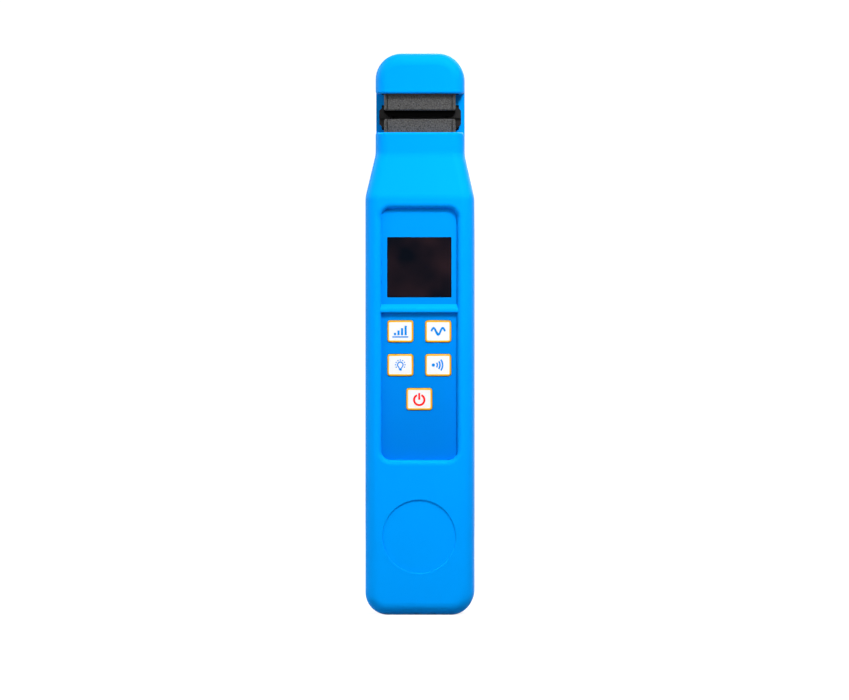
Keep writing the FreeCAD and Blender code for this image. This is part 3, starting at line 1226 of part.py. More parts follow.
def make_clamp():
    """The slider under the lower jaw, the trigger that pushes it up, its guide pins and return springs."""
    slider = new_body("clamp_slider")
    half, neck = "dims.slider_width / 2", "dims.slider_neck_width / 2"
    flange = "dims.slider_flange_width / 2"
    pad(slider, "XY", "dims.slider_bottom", "dims.slider_shoulder",
        rectangle(f"-{neck}", neck, "dims.slider_neck_front", "dims.slider_back"))
    pad(slider, "XY", "dims.slider_shoulder", "dims.slider_top",
        rectangle(f"-{half}", half, "dims.slider_front", "dims.slider_back"))
    pad(slider, "XY", "dims.slider_bottom", FLANGE_TOP,
        rectangle(f"-{flange}", flange, "dims.slider_neck_front", "dims.slider_back"))
    fit = "dims.mechanism_screw_radius + dims.screw_clearance"
    head = "dims.mechanism_screw_head + dims.screw_clearance"
    pin_holes, jaw_screw_holes, trigger_screw_holes, head_holes = [], [], [], []
    for sign in SIDES.values():
        pin_holes.append(("disc", f"{sign}dims.pin_side", "dims.pin_place", "dims.pin_radius + dims.pin_gap"))
        jaw_screw_holes.append(("disc", f"{sign}dims.jaw_screw_side", "dims.jaw_screw_place", fit))
        screw_place = (f"{sign}dims.trigger_screw_side", "dims.trigger_screw_place")
        trigger_screw_holes.append(("disc", *screw_place, fit))
        head_holes.append(("disc", *screw_place, head))
    pocket(slider, "XY", "dims.slider_bottom", FLANGE_TOP, *pin_holes)
    pocket(slider, "XY", f"{JAW_SCREW_SEAT} - dims.jaw_screw_length", "dims.slider_top", *jaw_screw_holes)
    pocket(slider, "XZ", "dims.slider_front", "dims.slider_back", *trigger_screw_holes)
    pocket(slider, "XZ", "dims.slider_front", TRIGGER_SCREW_SEAT, *head_holes)

    trigger = new_body("trigger")
    pad(trigger, "XZ", "dims.slider_back", TRIGGER_FRONT,
        rectangle(f"-{STEM_SIDE}", STEM_SIDE, "dims.trigger_stem_bottom", STEM_TOP))
    bend = "dims.trigger_round"
    pad(trigger, "YZ", f"-{TRIGGER_SIDE}", TRIGGER_SIDE,
        [(TRIGGER_FRONT, "dims.trigger_bottom"),
         (f"{HEAD_BACK} + dims.trigger_round", "dims.trigger_bottom", bend),
         (TRIGGER_BACK, "dims.trigger_bottom + dims.trigger_slope", bend),
         (TRIGGER_BACK, TRIGGER_TOP, bend),
         (TRIGGER_FRONT, TRIGGER_TOP)])
    pocket(trigger, "XZ", "dims.slider_back", "dims.slider_back + dims.trigger_screw_reach",
           *trigger_screw_holes)

    def grip_rim(edge, middle):
        on_side = lies_on(edge, "x", TRIGGER_SIDE) or lies_on(edge, "x", f"-{TRIGGER_SIDE}")
        return on_side and middle.y > number(HEAD_BACK)

    dress(trigger, "Fillet", bend, grip_rim)
    grooves = []
    for index in range(4):
        height = f"{TRIGGER_TOP} - dims.trigger_groove_top - {index} * dims.trigger_groove_pitch"
        grooves.append(centred("0", height, f"2 * {TRIGGER_SIDE} - 4 * dims.trigger_round",
                               "dims.trigger_groove"))
    pocket(trigger, "XZ", f"{TRIGGER_BACK} - dims.trigger_groove_depth", f"{TRIGGER_BACK} + {PAST}", *grooves)

    jaw_screws, trigger_screws, cap_screws, pins, springs = [], [], [], [], []
    head_size = ("dims.mechanism_screw_head", "dims.mechanism_screw_head_height",
                 "dims.mechanism_screw_radius")
    for side, sign in SIDES.items():
        jaw_screws.append(screw(f"jaw_screw_{side}", "-Z", *head_size, "dims.jaw_screw_length",
                                f"{sign}dims.jaw_screw_side", "dims.jaw_screw_place", JAW_SCREW_SEAT))
        trigger_screws.append(screw(f"trigger_screw_{side}", "+Y", *head_size,
                                    f"dims.slider_back + dims.trigger_screw_reach - {TRIGGER_SCREW_SEAT}",
                                    f"{sign}dims.trigger_screw_side", TRIGGER_SCREW_SEAT,
                                    "dims.trigger_screw_place"))
        cap_screws.append(screw(f"cap_screw_{side}", "-Z", *head_size,
                                f"{CAP_SCREW_SEAT} - {PLUG_TOP} + dims.cap_screw_reach",
                                f"{sign}dims.cap_screw_side", "dims.cap_screw_place", CAP_SCREW_SEAT))
        pins.append(rod(f"guide_pin_{side}", "dims.pin_radius", f"{SHELF_TOP} - dims.pin_bottom",
                        f"{sign}dims.pin_side", "dims.pin_place", "dims.pin_bottom"))
        spring_room = f"dims.shelf_bottom - {FLANGE_TOP} - 2 * dims.spring_end_gap"
        springs.append(coil(f"return_spring_{side}", "dims.spring_radius", "dims.spring_wire",
                            "dims.spring_pitch", spring_room, f"{sign}dims.pin_side", "dims.pin_place",
                            f"{FLANGE_TOP} + dims.spring_end_gap"))
    return [slider, trigger, group("lower_jaw_screws", *jaw_screws), group("trigger_screws", *trigger_screws),
            group("upper_jaw_screws", *cap_screws), group("guide_pins", *pins),
            group("return_springs", *springs)]


def make_battery():
    """Two cells laid opposite ways, their contacts and springs, and the door behind them."""
    left_bottom = f"({PLATE_TOP} + dims.contact_spring_height + dims.contact_gap)"
    right_bottom = f"({PLATE_TOP} + dims.contact_gap)"
    nub = "dims.cell_nub_height"
    left = new_body("battery_cell_left")
    pad(left, "XY", left_bottom, f"{left_bottom} + dims.cell_length - {nub}",
        ("disc", f"-{CELL_SIDE}", CELL_PLACE, "dims.cell_radius"))
    pad(left, "XY", f"{left_bottom} + dims.cell_length - {nub}", f"{left_bottom} + dims.cell_length",
        ("disc", f"-{CELL_SIDE}", CELL_PLACE, "dims.cell_nub_radius"))
    right = new_body("battery_cell_right")
    pad(right, "XY", f"{right_bottom} + {nub}", f"{right_bottom} + dims.cell_length",
        ("disc", CELL_SIDE, CELL_PLACE, "dims.cell_radius"))
    pad(right, "XY", right_bottom, f"{right_bottom} + {nub}",
        ("disc", CELL_SIDE, CELL_PLACE, "dims.cell_nub_radius"))

    half = "dims.contact_width / 2"
    depth = (f"{CELL_PLACE} - {half}", f"{CELL_PLACE} + {half}")
    plates = [box("bridge_plate", f"-{CELL_SIDE} - {half}", f"{CELL_SIDE} + {half}", *depth, PLATE_BOTTOM,
                  TRAY_ROOM_TOP)]
    for side, sign in SIDES.items():
        plates.append(box(f"end_plate_{side}", f"{sign}{CELL_SIDE} - {half}",
                          f"{sign}{CELL_SIDE} + {half}", *depth, TRAY_ROOM_BOTTOM, PLATE_TOP))
    turns = ("dims.contact_spring_radius", "dims.contact_spring_wire", "dims.contact_spring_pitch",
             "dims.contact_spring_height")
    springs = [coil("left_cell_spring", *turns, f"-{CELL_SIDE}", CELL_PLACE, PLATE_TOP),
               coil("right_cell_spring", *turns, CELL_SIDE, CELL_PLACE,
                    f"{PLATE_BOTTOM} - dims.contact_spring_height")]

    door = new_body("battery_door")
    pad(door, "XZ", DOOR_FRONT, CASE_BACK,
        rectangle(f"-{DOOR_SIDE}", DOOR_SIDE, DOOR_BOTTOM, DOOR_TOP, "dims.door_corner"))
    scoop = f"{CASE_BACK} - dims.door_scoop_depth"
    pocket(door, "XZ", scoop, f"{CASE_BACK} + {PAST}",
           centred("0", f"{DOOR_TOP} - dims.door_scoop_place", "dims.door_scoop_width",
                   "dims.door_scoop_height", "dims.door_scoop_corner"))
    dress(door, "Chamfer", "dims.key_edge", lambda edge, middle: lies_on(edge, "y", CASE_BACK))
    return [left, right, group("battery_contacts", *plates), group("battery_springs", *springs), door]


def make_locator():
    """The visible laser, its port with a ceramic sleeve, and the hinged cover of the port."""
    centre = ("0", LASER_PLACE)
    port = new_body("laser_port")
    pad(port, "XY", CASE_FLOOR, PORT_FLANGE_TOP,
        centred(*centre, "dims.port_flange_width", "dims.port_flange_depth", "dims.key_corner"))
    pad(port, "XY", PORT_NOSE, CASE_FLOOR, ("disc", *centre, "dims.port_nose_radius"))
    pad(port, "XY", PORT_FLANGE_TOP, PORT_TOP, ("disc", *centre, "dims.port_barrel_radius"))
    pocket(port, "XY", PORT_NOSE, PORT_TOP, ("disc", *centre, f"{SLEEVE_RADIUS} + dims.sleeve_gap"))

    sleeve = new_body("ceramic_sleeve")
    pad(sleeve, "XY", PORT_NOSE, PORT_TOP, ("disc", *centre, SLEEVE_RADIUS),
        ("disc", *centre, "dims.ferrule_radius"))

    laser = new_body("laser_module")
    can_top = f"({LASER_TOP} + dims.laser_can_length)"
    pad(laser, "XY", PORT_TOP, LASER_TOP, ("disc", *centre, "dims.laser_radius"))
    pad(laser, "XY", LASER_TOP, can_top, ("disc", *centre, "dims.laser_can_radius"))
    pins = [("disc", f"{sign}dims.laser_can_radius / 2", LASER_PLACE, "dims.laser_pin_radius")
            for sign in SIDES.values()]
    pad(laser, "XY", can_top, f"{can_top} + dims.laser_pin_length", *pins)

    cover = new_body("port_cover")
    pad(cover, "XY", "dims.cover_recess", COVER_TOP,
        [(f"-{COVER_SIDE}", COVER_FRONT, "dims.cover_corner"),
         (COVER_SIDE, COVER_FRONT, "dims.cover_corner"),
         (COVER_SIDE, COVER_HINGE), (f"-{COVER_SIDE}", COVER_HINGE)])
    pad(cover, "YZ", f"-{COVER_SIDE} - dims.cover_stub", f"{COVER_SIDE} + dims.cover_stub",
        ("disc", COVER_HINGE, COVER_HINGE_HEIGHT, "dims.cover_hinge_radius"))
    pad(cover, "XY", COVER_TOP, f"{PORT_NOSE} - dims.cover_seal_gap",
        ("disc", *centre, "dims.cover_seal_radius"))
    return [port, sleeve, laser, cover]


def make_case_screws():
    """The four screws that close the case from behind."""
    screws = []
    for side, sign in SIDES.items():
        for level in ("low", "high"):
            screws.append(screw(f"case_screw_{side}_{level}", "-Y", "dims.case_screw_head",
                                "dims.case_screw_head_height", "dims.case_screw_radius",
                                "dims.case_screw_depth", f"{sign}dims.case_screw_side",
                                "dims.case_screw_seat", f"dims.case_screw_{level}"))
    return group("housing_screws", *screws)


def build():
    """Makes every piece of the tool."""
    outside, front_shell, rear_shell = make_case_shells()
    pieces = [make_rubber_boot(), make_front_housing(front_shell), make_rear_housing(rear_shell, outside)]
    pieces.append(make_case_screws())
    for make in (make_panel, make_keys, make_electronics, make_jaws, make_guides, make_detectors,
                 make_clamp, make_battery, make_locator):
        pieces += make()
    return pieces


def write(pieces):
    """Checks every feature and every piece, then writes one file for each piece."""
    doc.recompute()
    failed = [item.Label for item in doc.Objects if {"Invalid", "Error"} & set(item.State)]
    broken = [piece.Label for piece in pieces if piece.Shape.isNull() or not piece.Shape.isValid()]
    if failed or broken:
        raise RuntimeError(f"failed features {failed}, broken pieces {broken}")
    os.makedirs("parts", exist_ok=True)
    for piece in pieces:
        piece.Shape.exportStep(f"parts/{piece.Label}.step")
        print(piece.Label, len(piece.Shape.Solids), round(piece.Shape.Volume, 2))


write(build())
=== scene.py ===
import json
import math

import bmesh
import bpy
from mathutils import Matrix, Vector

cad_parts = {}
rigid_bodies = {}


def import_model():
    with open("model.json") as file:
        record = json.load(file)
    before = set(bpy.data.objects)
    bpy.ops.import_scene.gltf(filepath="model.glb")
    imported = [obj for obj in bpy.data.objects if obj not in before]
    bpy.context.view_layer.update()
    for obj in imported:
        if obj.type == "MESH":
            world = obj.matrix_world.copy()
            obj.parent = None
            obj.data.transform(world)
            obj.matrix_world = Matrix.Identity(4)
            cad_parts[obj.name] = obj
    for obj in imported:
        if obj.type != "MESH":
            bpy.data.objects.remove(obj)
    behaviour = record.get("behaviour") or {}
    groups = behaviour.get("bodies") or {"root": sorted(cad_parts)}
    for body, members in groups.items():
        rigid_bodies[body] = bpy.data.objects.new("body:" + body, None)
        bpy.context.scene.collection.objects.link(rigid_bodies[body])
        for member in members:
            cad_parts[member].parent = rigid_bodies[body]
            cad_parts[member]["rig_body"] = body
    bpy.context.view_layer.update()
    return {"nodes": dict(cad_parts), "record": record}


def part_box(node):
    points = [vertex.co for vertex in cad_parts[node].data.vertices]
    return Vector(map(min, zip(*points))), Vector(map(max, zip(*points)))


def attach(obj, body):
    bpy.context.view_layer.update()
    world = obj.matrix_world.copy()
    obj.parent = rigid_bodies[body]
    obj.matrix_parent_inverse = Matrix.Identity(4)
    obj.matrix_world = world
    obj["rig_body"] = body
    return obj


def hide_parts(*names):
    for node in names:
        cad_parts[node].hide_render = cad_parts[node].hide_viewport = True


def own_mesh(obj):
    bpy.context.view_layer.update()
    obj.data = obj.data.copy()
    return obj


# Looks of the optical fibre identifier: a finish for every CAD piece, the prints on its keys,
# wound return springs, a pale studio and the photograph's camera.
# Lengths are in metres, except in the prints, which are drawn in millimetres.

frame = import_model()
nodes = frame["nodes"]

MM = 0.001

# Colours as linear red, green and blue
WHITE = (1.0, 1.0, 1.0)
AZURE = (0.0, 0.335, 1.0)
AZURE_DEEP = (0.0, 0.315, 0.97)
BLUE_GLINT = (0.02, 0.7, 1.0)
FILM_BLUE = (0.0, 0.29, 0.9)
FILM_BLUE_DEEP = (0.0, 0.18, 0.69)
KEY_WHITE = (0.85, 0.855, 0.86)
KEY_WHITE_DULL = (0.82, 0.825, 0.83)
KEY_ORANGE = (0.97, 0.45, 0.01)
INK_BLUE = (0.0, 0.23, 0.74)
INK_BLUE_THIN = (0.002, 0.26, 0.8)
INK_RED = (0.92, 0.004, 0.005)
INK_RED_THIN = (0.96, 0.012, 0.012)
CHARCOAL = (0.014, 0.014, 0.015)
CHARCOAL_PALE = (0.022, 0.022, 0.023)
GUIDE_BLACK = (0.004, 0.0035, 0.0035)
GUIDE_BLACK_PALE = (0.007, 0.0065, 0.0065)
# Black of the rubber, made deeper than the rubber's own black as painted shade
RUBBER_BLACK_AND_SHADE = (0.0006, 0.0006, 0.0006)
RUBBER_BLACK_AND_SHADE_PALE = (0.0014, 0.0014, 0.0014)
FOAM_BLACK = (0.006, 0.006, 0.006)
FOAM_BLACK_PALE = (0.02, 0.02, 0.02)
WINDOW_BLACK = (0.0012, 0.0025, 0.006)
# Brown of a painted reflection on the display window
WINDOW_BROWN_REFLECTION = (0.016, 0.008, 0.011)
PANEL_BLACK = (0.008, 0.008, 0.01)
PANEL_BLACK_PALE = (0.014, 0.014, 0.017)
BOARD_GREEN = (0.003, 0.06, 0.022)
BOARD_GREEN_PALE = (0.004, 0.075, 0.028)
TRACK_GREEN = (0.012, 0.16, 0.06)
CABLE_AMBER = (0.3, 0.11, 0.012)
CABLE_AMBER_PALE = (0.52, 0.24, 0.05)
JAW_BLACK = (0.004, 0.004, 0.004)
JAW_GREY = (0.115, 0.114, 0.113)
STEEL_GREY = (0.42, 0.42, 0.43)
STEEL_GREY_PALE = (0.6, 0.6, 0.61)
NICKEL = (0.5, 0.46, 0.36)
NICKEL_PALE = (0.66, 0.62, 0.5)
JACKET_GREY = (0.028, 0.03, 0.034)
JACKET_GREY_PALE = (0.04, 0.042, 0.047)
JACKET_BAND = (0.3, 0.31, 0.32)
CERAMIC = (0.78, 0.77, 0.72)
CERAMIC_PALE = (0.86, 0.85, 0.81)
STUDIO_GREY = (0.24, 0.24, 0.24)
STUDIO_GREY_PALE = (0.26, 0.26, 0.26)


def opaque(colour):
    return (*colour, 1.0)


# Building blocks of the finishes
def add(tree, kind, inputs=None, **settings):
    """A new node; each input named is linked to a socket or gets a plain value."""
    made = tree.nodes.new(kind)
    for key, value in settings.items():
        setattr(made, key, value)
    for key, value in (inputs or {}).items():
        if isinstance(value, bpy.types.NodeSocket):
            tree.links.new(value, made.inputs[key])
        else:
            made.inputs[key].default_value = value
    return made


def vector_math(tree, operation, *values, result="Vector"):
    """One step of arithmetic on positions."""
    made = add(tree, "ShaderNodeVectorMath", dict(enumerate(values)), operation=operation)
    return made.outputs[result]


def number_math(tree, operation, first, second):
    """One step of arithmetic on numbers."""
    return add(tree, "ShaderNodeMath", {0: first, 1: second}, operation=operation).outputs[0]


def place_on(tree, stretch=(1.0, 1.0, 1.0), source="Object"):
    """Positions on the piece: in metres, or from 0 to 1 over its box where the source is Generated.

    A stretch lets a texture run along one direction.
    """
    where = add(tree, "ShaderNodeTexCoord")
    return vector_math(tree, "MULTIPLY", where.outputs[source], stretch)


def speckle(tree, size, detail=2.0, stretch=(1.0, 1.0, 1.0)):
    """Soft random spots about as wide as size."""
    made = add(tree, "ShaderNodeTexNoise",
               {"Vector": place_on(tree, stretch), "Scale": 1.0 / size, "Detail": detail, "Roughness": 0.55})
    return made.outputs["Fac"]


def pebbles(tree, size):
    """Rounded cells about as wide as size."""
    made = add(tree, "ShaderNodeTexVoronoi", {"Vector": place_on(tree), "Scale": 1.0 / size})
    return made.outputs["Distance"]


def stripes(tree, scale, direction):
    """Even waves across one direction."""
    made = add(tree, "ShaderNodeTexWave", {"Vector": place_on(tree), "Scale": scale},
               bands_direction=direction)
    return made.outputs["Fac"]


def between(tree, factor, low, high):
    """A colour from low to high as the factor rises."""
    mix = add(tree, "ShaderNodeMix", data_type="RGBA")
    tree.links.new(factor, mix.inputs["Factor"])
    for socket, colour in ((mix.inputs[6], low), (mix.inputs[7], high)):
        if isinstance(colour, bpy.types.NodeSocket):
            tree.links.new(colour, socket)
        else:
            socket.default_value = opaque(colour)
    return mix.outputs[2]


def ramp(tree, value, first, last, low=0.0, high=1.0):
    """A number from low to high as the value goes from first to last."""
    made = add(tree, "ShaderNodeMapRange",
               {"Value": value, "From Min": first, "From Max": last, "To Min": low, "To Max": high})
    return made.outputs["Result"]


def span(tree, factor, low, high):
    """A number from low to high over the range that a speckle mostly covers."""
    return ramp(tree, factor, 0.25, 0.75, low, high)


def relief(tree, height, depth):
    """A bump from a height that goes from 0 to 1 over depth metres."""
    made = add(tree, "ShaderNodeBump", {"Height": height, "Distance": depth, "Strength": 1.0})
    return made.outputs["Normal"]


def material(name, metallic=0.0, specular=0.5, glint=None):
    """A new material with its node tree and shader; a glint tints its highlights."""
    made = bpy.data.materials.new(name)
    made.use_nodes = True
    shader = made.node_tree.nodes["Principled BSDF"]
    shader.inputs["Metallic"].default_value = metallic
    shader.inputs["Specular IOR Level"].default_value = specular
    if glint is not None:
        shader.inputs["Specular Tint"].default_value = opaque(glint)
    return made, made.node_tree, shader


def dress(tree, shader, colour, roughness, normal=None):
    """Links the sockets that vary over the surface."""
    tree.links.new(colour, shader.inputs["Base Color"])
    tree.links.new(roughness, shader.inputs["Roughness"])
    if normal is not None:
        tree.links.new(normal, shader.inputs["Normal"])


def moulded(name, low, high, grain_size, grain_depth, roughness, specular, blotch=20 * MM, glint=None):
    """A moulded plastic or rubber: a faint drift of tone over a fine grain."""
    made, tree, shader = material(name, specular=specular, glint=glint)
    grain = speckle(tree, grain_size, detail=3.0)
    tone = speckle(tree, blotch)
    dress(tree, shader,
          colour=between(tree, tone, low, high),
          roughness=span(tree, grain, *roughness),
          normal=relief(tree, grain, grain_depth))
    return made


def brushed(name, low, high, roughness, stretch):
    """A bare metal with fine lines along it."""
    made, tree, shader = material(name, metallic=1.0)
    lines = speckle(tree, 0.25 * MM, detail=4.0, stretch=stretch)
    dress(tree, shader,
          colour=between(tree, lines, low, high),
          roughness=span(tree, lines, *roughness),
          normal=relief(tree, lines, depth=0.004 * MM))
    return made


# One finish for each material slot of the record
def boot_rubber():
    """Satin silicone whose highlights keep the colour of the rubber."""
    return moulded("boot_rubber", AZURE_DEEP, AZURE, grain_size=0.35 * MM, grain_depth=0.01 * MM,
                   roughness=(0.46, 0.58), specular=0.1, glint=BLUE_GLINT)


def panel_film():
    """Film whose blue deepens toward the lower end."""
    made, tree, shader = material("panel_film", specular=0.3, glint=BLUE_GLINT)
    low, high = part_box("keypad_overlay")
    place = add(tree, "ShaderNodeSeparateXYZ", {"Vector": place_on(tree)})
    rise = ramp(tree, place.outputs["Z"], low.z, high.z)
    grain = speckle(tree, 0.22 * MM, detail=3.0)
    dress(tree, shader,
          colour=between(tree, rise, FILM_BLUE_DEEP, FILM_BLUE),
          roughness=span(tree, grain, 0.36, 0.46),
          normal=relief(tree, grain, depth=0.006 * MM))
    return made


def case_plastic():
    """Charcoal plastic with a fine texture."""
    return moulded("case_plastic", CHARCOAL, CHARCOAL_PALE, grain_size=0.3 * MM, grain_depth=0.02 * MM,
                   roughness=(0.5, 0.68), specular=0.4)


def guide_plastic():
    """Black plastic with a slight shine."""
    return moulded("guide_plastic", GUIDE_BLACK, GUIDE_BLACK_PALE, grain_size=0.25 * MM,
                   grain_depth=0.01 * MM, roughness=(0.42, 0.56), specular=0.2)


def black_rubber():
    """Deep black that hardly shines: the rubber's own black, deepened past it by painted shade."""
    return moulded("black_rubber", RUBBER_BLACK_AND_SHADE, RUBBER_BLACK_AND_SHADE_PALE, grain_size=0.25 * MM,
                   grain_depth=0.006 * MM, roughness=(0.7, 0.85), specular=0.01)


def sleeve_ceramic():
    """Polished white ceramic."""
    return moulded("sleeve_ceramic", CERAMIC, CERAMIC_PALE, grain_size=0.4 * MM, grain_depth=0.001 * MM,
                   roughness=(0.1, 0.16), specular=0.6, blotch=2 * MM)


def foam():
    """Dark foam with open cells."""
    made, tree, shader = material("foam", specular=0.2)
    cells = pebbles(tree, 0.3 * MM)
    dress(tree, shader,
          colour=between(tree, cells, FOAM_BLACK, FOAM_BLACK_PALE),
          roughness=span(tree, cells, 0.85, 0.95),
          normal=relief(tree, cells, depth=0.1 * MM))
    return made


def display_window():
    """Clear acrylic over a switched-off display: near black, with faint brown clouds of painted reflection.
    """
    made, tree, shader = material("display_window", specular=0.03)
    # The brown clouds are a painted reflection
    painted_reflection = span(tree, speckle(tree, 11 * MM, detail=1.5), 0.0, 1.0)
    dress(tree, shader,
          colour=between(tree, painted_reflection, WINDOW_BLACK, WINDOW_BROWN_REFLECTION),
          roughness=span(tree, speckle(tree, 4 * MM, detail=4.0), 0.05, 0.1))
    return made


def display_panel():
    """The display behind the window, with its rows of dots."""
    made, tree, shader = material("display_panel")
    rows = stripes(tree, scale=1600.0, direction="Z")
    dress(tree, shader,
          colour=between(tree, rows, PANEL_BLACK, PANEL_BLACK_PALE),
          roughness=span(tree, speckle(tree, 3 * MM), 0.12, 0.2))
    return made


def key_plastic():
    """White keys with an orange border and orange sides."""
    made, tree, shader = material("key_plastic", specular=0.15)
    low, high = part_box("power_key")
    width = high.x - low.x
    height = high.z - low.z
    flange = 1.0 * MM
    corner = 1.0 * MM
    border = 0.62 * MM
    blur = 0.03 * MM
    core = (width / 2 - flange - corner, 0.0, height / 2 - flange - corner)
    from_middle = vector_math(tree, "SUBTRACT", place_on(tree, source="Generated"), (0.5, 0.5, 0.5))
    in_metres = vector_math(tree, "MULTIPLY", from_middle, (width, 0.0, height))
    to_either_side = vector_math(tree, "ABSOLUTE", in_metres)
    past_core = vector_math(tree, "SUBTRACT", to_either_side, core)
    outward = vector_math(tree, "MAXIMUM", past_core, (0.0, 0.0, 0.0))
    reach = vector_math(tree, "LENGTH", outward, result="Value")
    edge = ramp(tree, reach, corner - border - blur, corner - border + blur)
    grain = speckle(tree, 0.2 * MM, detail=3.0)
    white = between(tree, speckle(tree, 3 * MM), KEY_WHITE_DULL, KEY_WHITE)
    dress(tree, shader,
          colour=between(tree, edge, white, KEY_ORANGE),
          roughness=span(tree, grain, 0.38, 0.48),
          normal=relief(tree, grain, depth=0.004 * MM))
    return made


def circuit_board():
    """Green solder mask over paler tracks."""
    made, tree, shader = material("circuit_board")
    tracks = add(tree, "ShaderNodeTexBrick",
                 {"Vector": place_on(tree), "Scale": 220.0, "Mortar Size": 0.035,
                  "Color1": opaque(BOARD_GREEN), "Color2": opaque(BOARD_GREEN_PALE),
                  "Mortar": opaque(TRACK_GREEN)})
    dress(tree, shader,
          colour=tracks.outputs["Color"],
          roughness=span(tree, speckle(tree, 2 * MM), 0.3, 0.42))
    return made


def flat_cable():
    """Amber film with conductors side by side."""
    made, tree, shader = material("flat_cable")
    conductors = stripes(tree, scale=320.0, direction="X")
    dress(tree, shader,
          colour=between(tree, conductors, CABLE_AMBER, CABLE_AMBER_PALE),
          roughness=span(tree, speckle(tree, 2 * MM), 0.22, 0.32))
    return made


def jaw_metal():
    """Bead-blasted metal with a dark grey coat."""
    made, tree, shader = material("jaw_metal", metallic=0.1, specular=0.2)
    beads = speckle(tree, 0.4 * MM, detail=4.0)
    dress(tree, shader,
          colour=between(tree, span(tree, beads, 0.0, 1.0), JAW_BLACK, JAW_GREY),
          roughness=span(tree, beads, 0.48, 0.66),
          normal=relief(tree, beads, depth=0.06 * MM))
    return made


def steel():
    """Plain steel, drawn along its length."""
    return brushed("steel", STEEL_GREY, STEEL_GREY_PALE, roughness=(0.24, 0.38), stretch=(1.0, 1.0, 0.08))


def port_metal():
    """Nickel-plated brass."""
    return brushed("port_metal", NICKEL, NICKEL_PALE, roughness=(0.2, 0.32), stretch=(1.0, 1.0, 0.1))


def cell_jacket():
    """A plain shrink jacket with a paler band at the upper end of each cell."""
    made, tree, shader = material("cell_jacket")
    band_start = 0.86
    place = add(tree, "ShaderNodeSeparateXYZ", {"Vector": place_on(tree, source="Generated")})
    band = number_math(tree, "GREATER_THAN", place.outputs["Z"], band_start)
    jacket = between(tree, speckle(tree, 6 * MM), JACKET_GREY, JACKET_GREY_PALE)
    dress(tree, shader,
          colour=between(tree, band, jacket, JACKET_BAND),
          roughness=span(tree, speckle(tree, 1.5 * MM), 0.28, 0.4))
    return made


FINISHES = {
    "boot_rubber": boot_rubber(),
    "panel_film": panel_film(),
    "display_window": display_window(),
    "foam": foam(),
    "display_panel": display_panel(),
    "case_plastic": case_plastic(),
    "key_plastic": key_plastic(),
    "circuit_board": circuit_board(),
    "flat_cable": flat_cable(),
    "jaw_metal": jaw_metal(),
    "guide_plastic": guide_plastic(),
    "black_rubber": black_rubber(),
    "steel": steel(),
    "cell_jacket": cell_jacket(),
    "port_metal": port_metal(),
    "sleeve_ceramic": sleeve_ceramic(),
}

for part in frame["record"]["subparts"]:
    surface = nodes[part["node"]].data
    surface.materials.clear()
    surface.materials.append(FINISHES[part["material_slot"]])


def new_object(name, built, finish):
    """Turns a mesh in the making into an object of the scene."""
    data = bpy.data.meshes.new(name)
    built.to_mesh(data)
    built.free()
    data.materials.append(finish)
    made = bpy.data.objects.new(name, data)
    bpy.context.scene.collection.objects.link(made)
    return made


# Prints on the keys, drawn in millimetres from the middle of each key: across, then up
PRINT_PROUD = 0.02 * MM
PRINT_DEPTH = 0.05 * MM


def arc(middle, radius, first, last, steps):
    """Points on a circle from one angle to another, in degrees."""
    turns = [math.radians(first + (last - first) * step / steps) for step in range(steps + 1)]
    return [(middle[0] + radius * math.cos(turn), middle[1] + radius * math.sin(turn)) for turn in turns]


def stroke(points, width):
    """The outline of a line of that width drawn through the points."""
    left = []
    right = []
    for index, point in enumerate(points):
        before = Vector(points[max(index - 1, 0)])
        after = Vector(points[min(index + 1, len(points) - 1)])
        along = (after - before).normalized()
        side = Vector((-along.y, along.x)) * width / 2
        left.append(tuple(Vector(point) + side))
        right.append(tuple(Vector(point) - side))
    return left + right[::-1]


def bar(left, right, bottom, top):
    """The outline of an upright rectangle."""
    return [(left, bottom), (right, bottom), (right, top), (left, top)]


def level_bars():
    """Four rising bars over a line."""
    first_left = -2.35
    pitch = 1.3
    width = 0.8
    bottom = -1.45
    first_top = -0.55
    growth = 0.85
    shapes = [bar(left=-2.9, right=2.9, bottom=-2.3, top=-1.82)]
    for index in range(4):
        left = first_left + pitch * index
        shapes.append(bar(left, left + width, bottom, first_top + growth * index))
    return shapes


def wave():
    """A light wave, one period and a half long."""
    half_length = 2.5
    height = 1.25
    steps = 48
    points = []
    for step in range(steps + 1):
        across = -half_length + 2 * half_length * step / steps
        points.append((across, height * math.sin(3 * math.pi * step / steps)))
    return [stroke(points, width=0.72)]


def bulb():
    """A light bulb with nine rays."""
    middle = (0.0, 0.1)
    neck_half = 0.38
    neck_bottom = -1.14
    line = 0.42
    ray_ends = (1.5, 1.95)
    glass = arc(middle, radius=1.0, first=212, last=-32, steps=28)
    outline = [(-neck_half, neck_bottom)] + glass + [(neck_half, neck_bottom)]
    shapes = [stroke(outline, line), bar(left=-0.5, right=0.5, bottom=-2.0, top=neck_bottom)]
    for angle in range(-30, 211, 30):
        turn = math.radians(angle)
        ray = [(reach * math.cos(turn), middle[1] + reach * math.sin(turn)) for reach in ray_ends]
        shapes.append(stroke(ray, line))
    return shapes


def beam():
    """A point of light with its beam spreading to the right."""
    source = (-1.75, 0.0)
    shapes = [arc(source, radius=0.6, first=0, last=345, steps=23)]
    for radius in (1.45, 2.4, 3.35):
        shapes.append(stroke(arc(source, radius, first=-36, last=36, steps=16), width=0.6))
    return shapes


def power_sign():
    """A ring open at the top with a bar in the gap."""
    middle = (0.0, -0.3)
    line = 0.72
    ring = stroke(arc(middle, radius=1.88, first=114, last=426, steps=60), line)
    upright = bar(-line / 2, line / 2, bottom=middle[1] + 0.05, top=middle[1] + 2.46)
    return [ring, upright]


def ink(name, low, high):
    """A printed colour that is thinner in places."""
    made, tree, shader = material(name, specular=0.03)
    grain = speckle(tree, 0.12 * MM, detail=3.0)
    dress(tree, shader,
          colour=between(tree, grain, low, high),
          roughness=span(tree, grain, 0.4, 0.55),
          normal=relief(tree, grain, depth=0.003 * MM))
    return made


